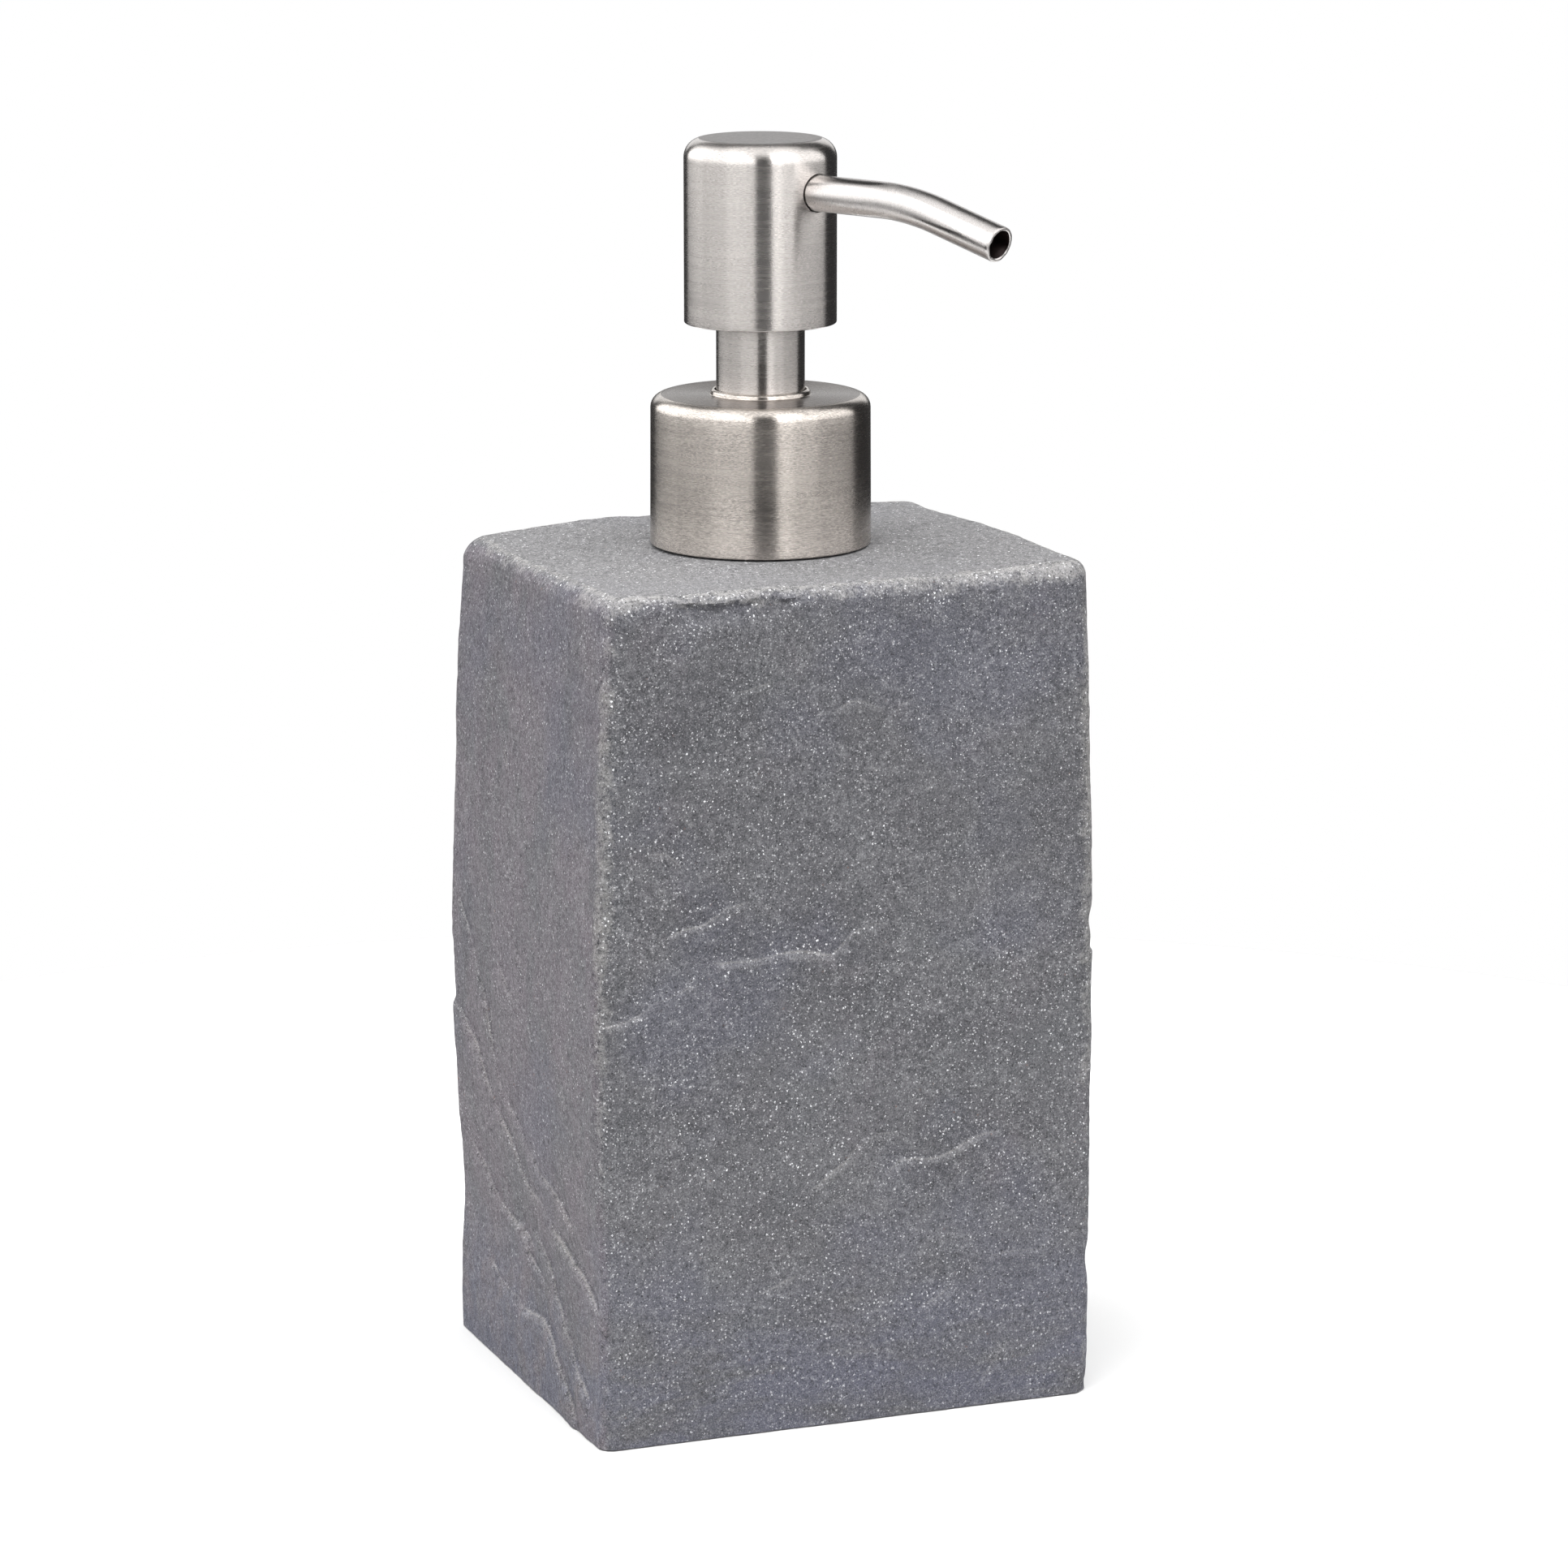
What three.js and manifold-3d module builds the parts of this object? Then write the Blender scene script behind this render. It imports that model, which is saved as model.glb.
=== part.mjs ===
// Soap pump dispenser: a cast stone-look bottle with a brushed-steel lotion pump screwed into its neck.
// Millimetres, +Z up. The origin is the middle of the underside, the pump's axis is the Z axis,
// -Y is the wide front face, and the spout points over the front, turned a little towards +X.

import * as THREE from 'three';
import { mergeVertices } from 'three/addons/utils/BufferGeometryUtils.js';
import Module from 'manifold-3d';

const wasm = await Module();
wasm.setup();

// ---- driving dimensions -------------------------------------------------------------------------

const CLEAR = 0.15; // running and assembly clearance between round plastic pieces
const CAST_GAP = 0.3; // gap between the cast body and what is set into it
const ROUND = 30; // sides of the round pieces
const SMALL_ROUND = 20; // sides of the slim inner pieces

// bottle
const BODY_WIDTH = 76; // at the base, along X
const BODY_DEPTH = 66; // at the base, along Y
const BODY_BOTTOM = 0.2;
const BODY_TOP = 124.4;
const BODY_DRAFT = 1.3; // how far each end leans in along X between base and top
const BODY_EDGE = 3.0; // radius of the upright edges
const BODY_CROWN = 2.9; // radius of the edge round the top
const CAVITY_WIDTH = 60;
const CAVITY_DEPTH = 50;
const CAVITY_BOTTOM = 9;
const CAVITY_TOP = 113;
const PAD_WIDTH = 62;
const PAD_DEPTH = 52;
const PAD_EDGE = 6;
const PAD_THICK = 1.15;

// threaded neck, 28 mm closure with six threads to the inch
const THREAD_PITCH = 25.4 / 6;
const NECK_BORE = 10.3;
const NECK_STEM = 12.2; // radius of the part set into the casting
const NECK_RIB = 14.2; // radius of the anchoring rib
const NECK_RIB_BOTTOM = 115;
const NECK_RIB_TOP = 118;
const NECK_FLANGE = 13.3; // radius of the flange that rests on the casting
const NECK_FLANGE_THICK = 1.2;
const NECK_ROOT = 12.6; // radius at the root of the thread
const NECK_CREST = 13.75; // radius at the crest of the thread
const NECK_BOTTOM = 111.5;
const NECK_TOP = 135.6;
const THREAD_START = 127.6; // height of the middle of the thread where it starts

// collar
const COLLAR_R = 16.25;
const COLLAR_BOTTOM = 125.06;
const COLLAR_TOP = 146.87;
const COLLAR_EDGE = 1.1;
const SHEET = 0.6; // wall of the drawn steel shells
const LIP_R = 6.7; // inside of the lip that the sleeve slides through
const LIP_HEIGHT = 0.75;
const CLOSURE_R = COLLAR_R - SHEET - CLEAR;
const CLOSURE_WALL_R = 14.0; // inside the screw cap, between its threads
const CLOSURE_MINOR_R = 12.95; // crest of the internal thread
const CLOSURE_PLATE = 1.75; // thickness of the plate that presses on the pump's flange
const CLOSURE_HOLE_R = 8.95;

// pump housing
const FLANGE_R = 12.4;
const FLANGE_BOTTOM = 136.9;
const FLANGE_TOP = 138.3;
const HOUSING_TOP = 142.2;
const HOUSING_RIM_R = 8.6; // spigot above the flange, which the cap snaps over
const CHAMBER_R = 7.3; // wide upper chamber that the sleeve dips into
const CHAMBER_FLOOR = 123.0;
const CYLINDER_R = 5.2; // cylinder that the piston works in
const SPRING_LEDGE = 95.4;
const WALL = 1.2;
const BALL_ROOM_R = 3.2;
const BALL_ROOM_TOP = 93.5;
const SEAT_TOP = 90.4;
const THROAT_R = 1.6;
const THROAT_TOP = SEAT_TOP - (BALL_ROOM_R - THROAT_R);
const TUBE_SOCKET_TOP = 86.5;
const HOUSING_BOTTOM = 76.5;
const VENT_R = 0.7; // lets air into the bottle as soap leaves it
const VENT_HEIGHT = 131;

// dip tube
const DIP_R = 2.45;
const DIP_BORE = 1.75;
const DIP_BOTTOM = 14;

// piston and stem, drawn with the pump up
const STEM_R = 3.3;
const STEM_BORE = 2.0;
const STEM_FOOT = 117.45;
const STEM_TOP = 171.5;
const OUTLET_SEAT_R = 1.4;
const INLET_BALL_R = 2.4;
const OUTLET_BALL_R = 1.9;
const SPRING_R = 4.1; // mean radius of the coil
const WIRE_R = 0.42;
const SPRING_END_PITCH = 1.0;
const SPRING_TURNS = 8;

// head
const SLEEVE_R = 6.49;
const SLEEVE_WALL = 0.4;
const SLEEVE_BOTTOM = 137.3;
const SLEEVE_TOP = 159.5;
const HEAD_R = 11.16;
const HEAD_BOTTOM = 157.34;
const HEAD_TOP = 184.13;
const HEAD_SHOULDER = 2.8;
const CORE_R = HEAD_R - SHEET - 0.2;
const CORE_FLOOR = 159.9;

// spout
const SPOUT_HEIGHT = 176.9;
const SPOUT_R = 2.62;
const SPOUT_BORE = 2.15;
const SPOUT_TURN = 27.5; // degrees from the front towards +X
const SPOUT_ROOT = 4.6; // distance of the inner end from the pump's axis
const SPOUT_STRAIGHT_TO = 22.5; // where the bend starts
const SPOUT_BEND_R = 41;
const SPOUT_BEND = 15.6; // degrees
const SPOUT_TIP_LENGTH = 11.6; // straight run after the bend

const radians = THREE.MathUtils.degToRad;
const v2 = (x, y) => new THREE.Vector2(x, y);

// ---- helpers ------------------------------------------------------------------------------------

// A closed geometry as a solid that can be joined and cut.
function solid(geometry) {
  const bare = geometry.index ? geometry.toNonIndexed() : geometry.clone();
  bare.deleteAttribute('normal');
  bare.deleteAttribute('uv');
  const merged = mergeVertices(bare, 1e-4);
  const mesh = new wasm.Mesh({
    numProp: 3,
    vertProperties: new Float32Array(merged.attributes.position.array),
    triVerts: new Uint32Array(merged.index.array),
  });
  return new wasm.Manifold(mesh);
}

// A solid as a geometry again.
function geometryOf(body) {
  const mesh = body.getMesh();
  const geometry = new THREE.BufferGeometry();
  geometry.setAttribute('position', new THREE.BufferAttribute(new Float32Array(mesh.vertProperties), 3));
  geometry.setIndex(Array.from(mesh.triVerts));
  geometry.computeVertexNormals();
  return geometry;
}

// A profile of [radius, height] points turned about the Z axis. Profiles run up the outside and down
// the inside; a ring's profile is closed here, a piece that reaches the axis starts and ends on it.
function turned(profile, sides = ROUND) {
  const points = profile.map(([r, z]) => v2(r, z));
  const onAxis = profile[0][0] === 0;
  if (!onAxis) points.push(points[0].clone());
  const geometry = new THREE.LatheGeometry(points, sides);
  geometry.rotateX(Math.PI / 2);
  return geometry;
}

// A plain tube about the Z axis.
const tube = (outer, inner, bottom, top, sides) =>
  turned([[outer, bottom], [outer, top], [inner, top], [inner, bottom]], sides);

// Points of an arc in a profile, from one angle to another in degrees, both ends included.
function arc(r, z, radius, from, to, steps) {
  const points = [];
  for (let i = 0; i <= steps; i++) {
    const angle = radians(from + ((to - from) * i) / steps);
    points.push([r + radius * Math.cos(angle), z + radius * Math.sin(angle)]);
  }
  return points;
}

// A rod along a horizontal direction, for cutting side holes.
function sideRod(radius, from, to, height, angle, sides = SMALL_ROUND) {
  const rod = new THREE.CylinderGeometry(radius, radius, to - from, sides);
  rod.rotateZ(-Math.PI / 2);
  rod.translate((from + to) / 2, 0, height);
  rod.rotateZ(angle);
  return rod;
}

function roundedRectangle(width, depth, radius) {
  const x = width / 2;
  const y = depth / 2;
  const quarter = Math.PI / 2;
  const shape = new THREE.Shape();
  shape.absarc(x - radius, y - radius, radius, 0, quarter);
  shape.absarc(radius - x, y - radius, radius, quarter, 2 * quarter);
  shape.absarc(radius - x, radius - y, radius, 2 * quarter, 3 * quarter);
  shape.absarc(x - radius, radius - y, radius, 3 * quarter, 4 * quarter);
  return shape;
}

// A block with rounded upright edges whose top and bottom edges are rounded by the crown radius.
function roundedBlock(width, depth, bottom, top, edge, crown) {
  const block = new THREE.ExtrudeGeometry(roundedRectangle(width, depth, edge), {
    depth: top - bottom - 2 * crown,
    curveSegments: 4,
    bevelEnabled: true,
    bevelThickness: crown,
    bevelSize: crown,
    bevelOffset: -crown,
    bevelSegments: 3,
  });
  block.translate(0, 0, bottom + crown);
  return block;
}

// A helix about the Z axis whose frames keep the section's x axis radial. heightAt and radiusAt give
// the height and radius at a number of turns from the start.
class Helix extends THREE.Curve {
  constructor(turns, radiusAt, heightAt, startTurn = 0) {
    super();
    Object.assign(this, { turns, radiusAt, heightAt, startTurn });
    this.arcLengthDivisions = 400;
  }

  getPoint(t, target = new THREE.Vector3()) {
    const turn = t * this.turns;
    const angle = 2 * Math.PI * (turn + this.startTurn);
    const radius = this.radiusAt(turn);
    return target.set(radius * Math.cos(angle), radius * Math.sin(angle), this.heightAt(turn));
  }

  computeFrenetFrames(segments) {
    const tangents = [];
    const normals = [];
    const binormals = [];
    for (let i = 0; i <= segments; i++) {
      const t = this.getUtoTmapping(i / segments);
      const angle = 2 * Math.PI * (t * this.turns + this.startTurn);
      const radial = new THREE.Vector3(Math.cos(angle), Math.sin(angle), 0);
      const tangent = new THREE.Vector3(-Math.sin(angle), Math.cos(angle), 0);
      tangents.push(tangent);
      normals.push(radial);
      binormals.push(new THREE.Vector3().crossVectors(tangent, radial));
    }
    return { tangents, normals, binormals };
  }
}

// A thread ridge: a trapezoid swept along a helix, sinking into its wall at both ends.
// depth is positive for an outside thread and negative for an inside one.
function threadRidge({ wallR, depth, rootWidth, crestWidth, startHeight, startTurn, turns }) {
  const buried = -0.3 * Math.sign(depth);
  const runOut = 0.08;
  const section = new THREE.Shape([
    v2(buried, -rootWidth / 2),
    v2(depth, -crestWidth / 2),
    v2(depth, crestWidth / 2),
    v2(buried, rootWidth / 2),
  ]);
  const sunk = (turn) => Math.max(0, 1 - Math.min(turn, turns - turn) / runOut);
  const radiusAt = (turn) => wallR - sunk(turn) * depth * 0.9;
  const heightAt = (turn) => startHeight + turn * THREAD_PITCH;
  const path = new Helix(turns, radiusAt, heightAt, startTurn);
  return new THREE.ExtrudeGeometry(section, { steps: Math.round(turns * ROUND), extrudePath: path });
}

// ---- bottle -------------------------------------------------------------------------------------

// Outside of the neck insert below the bottle's top, grown by a gap for the hole in the casting.
function neckSocketProfile(gap) {
  return [
    [NECK_STEM + gap, NECK_BOTTOM - gap],
    [NECK_STEM + gap, NECK_RIB_BOTTOM - gap],
    [NECK_RIB + gap, NECK_RIB_BOTTOM - gap],
    [NECK_RIB + gap, NECK_RIB_TOP + gap],
    [NECK_STEM + gap, NECK_RIB_TOP + gap],
  ];
}

function stoneBody() {
  const blankBottom = -2 * BODY_CROWN;
  const block = roundedBlock(BODY_WIDTH, BODY_DEPTH, blankBottom, BODY_TOP, BODY_EDGE, BODY_CROWN);
  const place = block.attributes.position;
  for (let i = 0; i < place.count; i++) {
    const lean = (BODY_DRAFT * place.getZ(i)) / BODY_TOP;
    place.setX(i, place.getX(i) * (1 - lean / (BODY_WIDTH / 2)));
  }
  const under = new THREE.BoxGeometry(2 * BODY_WIDTH, 2 * BODY_DEPTH, 40);
  under.translate(0, 0, BODY_BOTTOM - 20);
  const cavity = new THREE.BoxGeometry(CAVITY_WIDTH, CAVITY_DEPTH, CAVITY_TOP - CAVITY_BOTTOM);
  cavity.translate(0, 0, (CAVITY_TOP + CAVITY_BOTTOM) / 2);
  const socket = turned([
    [0, CAVITY_TOP - 8],
    [NECK_STEM + CAST_GAP, CAVITY_TOP - 8],
    ...neckSocketProfile(CAST_GAP).slice(1),
    [NECK_STEM + CAST_GAP, BODY_TOP + 5],
    [0, BODY_TOP + 5],
  ]);
  const recess = new THREE.ExtrudeGeometry(
    roundedRectangle(PAD_WIDTH + 2 * CAST_GAP, PAD_DEPTH + 2 * CAST_GAP, PAD_EDGE + CAST_GAP),
    { depth: PAD_THICK + CAST_GAP + 5, bevelEnabled: false, curveSegments: 4 });
  recess.translate(0, 0, -5);
  const cuts = [under, cavity, socket, recess];
  return geometryOf(cuts.reduce((body, cut) => body.subtract(solid(cut)), solid(block)));
}

function basePad() {
  return new THREE.ExtrudeGeometry(
    roundedRectangle(PAD_WIDTH, PAD_DEPTH, PAD_EDGE),
    { depth: PAD_THICK, bevelEnabled: false, curveSegments: 4 });
}

function neckInsert() {
  const shoulder = BODY_TOP + CAST_GAP;
  const neck = turned([
    ...neckSocketProfile(0),
    [NECK_STEM, shoulder],
    [NECK_FLANGE, shoulder],
    [NECK_FLANGE, shoulder + NECK_FLANGE_THICK],
    [NECK_ROOT, shoulder + NECK_FLANGE_THICK + 0.3],
    [NECK_ROOT, NECK_TOP - 0.4],
    [NECK_ROOT - 0.4, NECK_TOP],
    [NECK_BORE, NECK_TOP],
    [NECK_BORE, NECK_BOTTOM],
  ]);
  const ridge = threadRidge({
    wallR: NECK_ROOT,
    depth: NECK_CREST - NECK_ROOT,
    rootWidth: 2.2,
    crestWidth: 1.1,
    startHeight: THREAD_START,
    startTurn: 0,
    turns: 1.2,
  });
  return geometryOf(solid(neck).add(solid(ridge)));
}

// ---- collar -------------------------------------------------------------------------------------

function collarShell() {
  const lipTop = COLLAR_TOP + LIP_HEIGHT;
  const innerTop = COLLAR_TOP - SHEET;
  const inner = COLLAR_R - SHEET;
  const innerEdge = COLLAR_EDGE - SHEET;
  return turned([
    [COLLAR_R, COLLAR_BOTTOM],
    ...arc(COLLAR_R - COLLAR_EDGE, COLLAR_TOP - COLLAR_EDGE, COLLAR_EDGE, 0, 90, 4),
    [8.0, COLLAR_TOP],
    [7.4, COLLAR_TOP + 0.25],
    [7.15, lipTop],
    [LIP_R + 0.1, lipTop],
    [LIP_R, lipTop - 0.1],
    [LIP_R, COLLAR_TOP - 0.2],
    [7.2, innerTop],
    ...arc(inner - innerEdge, innerTop - innerEdge, innerEdge, 90, 0, 2),
    [inner, COLLAR_BOTTOM],
  ]);
}

function closureRing() {
  const bottom = COLLAR_BOTTOM + 0.35;
  const top = COLLAR_TOP - SHEET - CLEAR;
  const plateBottom = FLANGE_TOP + CLEAR;
  const plateTop = plateBottom + CLOSURE_PLATE;
  const ring = turned([
    [CLOSURE_R, bottom],
    [CLOSURE_R, top - 0.4],
    [CLOSURE_R - 0.4, top],
    [14.6, top],
    [14.6, plateTop],
    [CLOSURE_HOLE_R, plateTop],
    [CLOSURE_HOLE_R, plateBottom],
    [CLOSURE_WALL_R, plateBottom],
    [CLOSURE_WALL_R, bottom],
  ]);
  const startTurn = 0.35;
  const ridge = threadRidge({
    wallR: CLOSURE_WALL_R,
    depth: CLOSURE_MINOR_R - CLOSURE_WALL_R,
    rootWidth: 1.5,
    crestWidth: 0.8,
    startHeight: THREAD_START + (startTurn - 0.5) * THREAD_PITCH,
    startTurn,
    turns: 1.15,
  });
  return geometryOf(solid(ring).add(solid(ridge)));
}

// ---- pump engine --------------------------------------------------------------------------------

const neckGasket = () => tube(NECK_ROOT - 0.1, NECK_BORE + 0.1, NECK_TOP + CLEAR, FLANGE_BOTTOM - CLEAR);

function pumpHousing() {
  const rim = HOUSING_RIM_R;
  const lowerWall = CYLINDER_R + WALL - 0.1;
  const upperWall = CHAMBER_R + WALL;
  const lipR = 2.1; // bead that keeps the inlet ball in its room
  const shell = turned([
    [DIP_R + CLEAR, HOUSING_BOTTOM],
    [DIP_R + WALL, HOUSING_BOTTOM],
    [DIP_R + WALL, TUBE_SOCKET_TOP],
    [BALL_ROOM_R + WALL, TUBE_SOCKET_TOP + 1.5],
    [BALL_ROOM_R + WALL, BALL_ROOM_TOP + 0.1],
    [lowerWall, BALL_ROOM_TOP + 1.1],
    [lowerWall, CHAMBER_FLOOR - 2.6],
    [upperWall, CHAMBER_FLOOR - 1.2],
    [upperWall, FLANGE_BOTTOM],
    [FLANGE_R, FLANGE_BOTTOM],
    [FLANGE_R, FLANGE_TOP],
    [rim, FLANGE_TOP],
    [rim, HOUSING_TOP - 1.2],
    [rim + 0.15, HOUSING_TOP - 0.9],
    [rim - 0.1, HOUSING_TOP],
    [CHAMBER_R, HOUSING_TOP],
    [CHAMBER_R, CHAMBER_FLOOR],
    [CYLINDER_R, CHAMBER_FLOOR],
    [CYLINDER_R, SPRING_LEDGE],
    [lipR, SPRING_LEDGE],
    [lipR, BALL_ROOM_TOP],
    [BALL_ROOM_R, BALL_ROOM_TOP],
    [BALL_ROOM_R, SEAT_TOP],
    [THROAT_R, THROAT_TOP],
    [THROAT_R, TUBE_SOCKET_TOP + 0.5],
    [DIP_R + CLEAR, TUBE_SOCKET_TOP],
  ]);
  let housing = solid(shell);
  for (let i = 0; i < 3; i++) {
    const slot = new THREE.BoxGeometry(BALL_ROOM_R, 1.4, SPRING_LEDGE - BALL_ROOM_TOP + 0.6);
    slot.translate(BALL_ROOM_R / 2, 0, (SPRING_LEDGE + BALL_ROOM_TOP) / 2);
    slot.rotateZ((i * 2 * Math.PI) / 3);
    housing = housing.subtract(solid(slot));
  }
  const vent = sideRod(VENT_R, CHAMBER_R - 1, upperWall + 1, VENT_HEIGHT, 0, 12);
  return geometryOf(housing.subtract(solid(vent)));
}

function housingCap() {
  const skirtBottom = FLANGE_TOP + CLEAR + CLOSURE_PLATE + CLEAR;
  const top = HOUSING_TOP + 1.4;
  const outer = 10.6;
  const chamfer = 0.5;
  const skirtBore = HOUSING_RIM_R + 0.3; // room for the snap bead
  const hole = SLEEVE_R + 0.26;
  return turned([
    [skirtBore, skirtBottom],
    [outer, skirtBottom],
    [outer, top - chamfer],
    [outer - chamfer, top],
    [hole, top],
    [hole, HOUSING_TOP + CLEAR],
    [skirtBore, HOUSING_TOP + CLEAR],
  ]);
}

function guideBush() {
  const bottom = CHAMBER_FLOOR + CLEAR;
  const plateTop = CHAMBER_FLOOR + 3.6;
  return turned([
    [CHAMBER_R - CLEAR, bottom],
    [CHAMBER_R - CLEAR, plateTop],
    [4.4, plateTop],
    [4.4, 133],
    [STEM_R + CLEAR, 133],
    [STEM_R + CLEAR, bottom],
  ]);
}

function dipTube() {
  const straight = tube(DIP_R, DIP_BORE, DIP_BOTTOM, TUBE_SOCKET_TOP - 0.3, SMALL_ROUND);
  const slant = new THREE.BoxGeometry(20, 20, 10);
  slant.translate(0, 0, -5);
  slant.rotateY(radians(35));
  slant.translate(0, 0, DIP_BOTTOM + DIP_R * Math.tan(radians(35)));
  return geometryOf(solid(straight).subtract(solid(slant)));
}

// Compression spring with one closed turn at each end.
function returnSpring() {
  const bottom = SPRING_LEDGE + WIRE_R + CLEAR;
  const top = STEM_FOOT - CLEAR - 1.5 - CLEAR - WIRE_R;
  const openPitch = (top - bottom - 2 * SPRING_END_PITCH) / (SPRING_TURNS - 2);
  const heightAt = (turn) => {
    const ends = Math.min(turn, 1) + Math.max(turn - (SPRING_TURNS - 1), 0);
    return bottom + ends * SPRING_END_PITCH + (turn - ends) * openPitch;
  };
  const wire = new THREE.Shape().absarc(0, 0, WIRE_R, 0, 2 * Math.PI);
  const path = new Helix(SPRING_TURNS, () => SPRING_R, heightAt);
  return new THREE.ExtrudeGeometry(wire, { steps: SPRING_TURNS * 12, curveSegments: 3, extrudePath: path });
}

function ball(radius, height) {
  const sphere = new THREE.SphereGeometry(radius, 14, 8);
  sphere.rotateX(Math.PI / 2);
  sphere.translate(0, 0, height);
  return sphere;
}

// The inlet ball rests on a 45 degree cone, the outlet ball on a round edge; both just clear the seat.
const inletBallHeight = THROAT_TOP + Math.SQRT2 * INLET_BALL_R - THROAT_R + CLEAR;
const outletSeatHeight = STEM_TOP - 1.4;
const outletBallHeight =
  outletSeatHeight + Math.sqrt(OUTLET_BALL_R ** 2 - OUTLET_SEAT_R ** 2) + CLEAR;

// ---- piston and stem ----------------------------------------------------------------------------

function pistonSeal() {
  const bottom = STEM_FOOT + 0.1;
  const top = bottom + 5.15;
  const lip = CYLINDER_R - 0.1;
  return turned([
    [STEM_R + CLEAR, bottom],
    [4.0, bottom],
    [4.3, bottom + 0.85],
    [4.7, bottom - 0.4],
    [lip, bottom - 0.4],
    [lip, bottom],
    [4.6, bottom + 1.5],
    [4.6, top - 1.5],
    [lip, top],
    [4.8, top + 0.2],
    [4.3, top - 0.9],
    [4.0, top],
    [STEM_R + CLEAR, top],
  ], SMALL_ROUND);
}

function pistonRod() {
  const flangeTop = STEM_FOOT - CLEAR;
  return turned([
    [1.1, flangeTop - 4.8],
    [2.5, flangeTop - 4.8],
    [2.7, flangeTop - 4.5],
    [2.7, flangeTop - 1.5],
    [4.2, flangeTop - 1.5],
    [4.2, flangeTop],
    [STEM_BORE - CLEAR, flangeTop],
    [STEM_BORE - CLEAR, flangeTop + 8.5],
    [1.1, flangeTop + 8.5],
  ], SMALL_ROUND);
}

function pumpStem() {
  return turned([
    [STEM_R, STEM_FOOT],
    [STEM_R, STEM_TOP],
    [OUTLET_SEAT_R + 1.2, STEM_TOP],
    [OUTLET_SEAT_R + 1.2, outletSeatHeight + 1.2],
    [OUTLET_SEAT_R, outletSeatHeight],
    [OUTLET_SEAT_R, outletSeatHeight - 1],
    [STEM_BORE, outletSeatHeight - 1.6],
    [STEM_BORE, STEM_FOOT],
  ], SMALL_ROUND);
}

// ---- head ---------------------------------------------------------------------------------------

const spoutAngle = radians(SPOUT_TURN - 90);

function headCore() {
  const skirtR = SLEEVE_R - SLEEVE_WALL - CLEAR;
  const roomTop = STEM_TOP + 3.4;
  const top = HEAD_TOP - SHEET - 0.33;
  const blank = turned([
    [0, SPOUT_HEIGHT],
    [1.5, SPOUT_HEIGHT],
    [1.5, roomTop],
    [2.7, roomTop],
    [2.7, STEM_TOP + 0.1],
    [STEM_R + CLEAR, STEM_TOP + 0.1],
    [STEM_R + CLEAR, CORE_FLOOR - 1.4],
    [4.7, CORE_FLOOR - 2.4],
    [4.7, SLEEVE_BOTTOM + 0.3],
    [skirtR, SLEEVE_BOTTOM + 0.3],
    [skirtR, CORE_FLOOR],
    [CORE_R, CORE_FLOOR],
    [CORE_R, CORE_FLOOR + 1.6],
    [5.0, CORE_FLOOR + 1.6],
    [5.0, 172.5],
    [CORE_R, 172.5],
    [CORE_R, top - 2.2],
    [CORE_R - 2.05, top],
    [0, top],
  ]);
  const channel = sideRod(1.9, -1.9, CORE_R + 2, SPOUT_HEIGHT, spoutAngle);
  const socket = sideRod(SPOUT_R + CLEAR, SPOUT_ROOT - CLEAR, CORE_R + 2, SPOUT_HEIGHT, spoutAngle);
  return geometryOf(solid(blank).subtract(solid(channel)).subtract(solid(socket)));
}

function headShell() {
  const shoulderR = HEAD_R - HEAD_SHOULDER;
  const shoulderZ = HEAD_TOP - HEAD_SHOULDER;
  const shell = turned([
    [0, HEAD_TOP - SHEET],
    ...arc(shoulderR, shoulderZ, HEAD_SHOULDER - SHEET, 90, 0, 5),
    [HEAD_R - SHEET, HEAD_BOTTOM],
    [HEAD_R, HEAD_BOTTOM],
    ...arc(shoulderR, shoulderZ, HEAD_SHOULDER, 0, 90, 5),
    [0, HEAD_TOP],
  ]);
  const hole = sideRod(SPOUT_R + 0.23, HEAD_R - 4, HEAD_R + 4, SPOUT_HEIGHT, spoutAngle);
  return geometryOf(solid(shell).subtract(solid(hole)));
}

// Centre line of the spout in its own upright plane: out level, bend down, straight to the tip.
function spoutTube() {
  const outward = new THREE.Vector3(Math.cos(spoutAngle), Math.sin(spoutAngle), 0);
  const at = (reach, drop) =>
    outward.clone().multiplyScalar(reach).setZ(SPOUT_HEIGHT - drop);
  const bend = radians(SPOUT_BEND);
  const bendEnd = [
    SPOUT_STRAIGHT_TO + SPOUT_BEND_R * Math.sin(bend),
    SPOUT_BEND_R * (1 - Math.cos(bend)),
  ];
  const tip = [
    bendEnd[0] + SPOUT_TIP_LENGTH * Math.cos(bend),
    bendEnd[1] + SPOUT_TIP_LENGTH * Math.sin(bend),
  ];
  const corner = [
    SPOUT_STRAIGHT_TO + SPOUT_BEND_R * Math.tan(bend / 2),
    0,
  ];
  const path = new THREE.CurvePath();
  path.add(new THREE.LineCurve3(at(SPOUT_ROOT, 0), at(SPOUT_STRAIGHT_TO, 0)));
  path.add(new THREE.QuadraticBezierCurve3(at(SPOUT_STRAIGHT_TO, 0), at(...corner), at(...bendEnd)));
  path.add(new THREE.LineCurve3(at(...bendEnd), at(...tip)));
  const ring = new THREE.Shape().absarc(0, 0, SPOUT_R, 0, 2 * Math.PI);
  ring.holes.push(new THREE.Path().absarc(0, 0, SPOUT_BORE, 0, 2 * Math.PI));
  return new THREE.ExtrudeGeometry(ring, { steps: 20, curveSegments: 8, extrudePath: path });
}

// ---- assembly -----------------------------------------------------------------------------------

const finish = (color, roughness, metalness = 0) =>
  new THREE.MeshStandardMaterial({ color, roughness, metalness });

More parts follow.
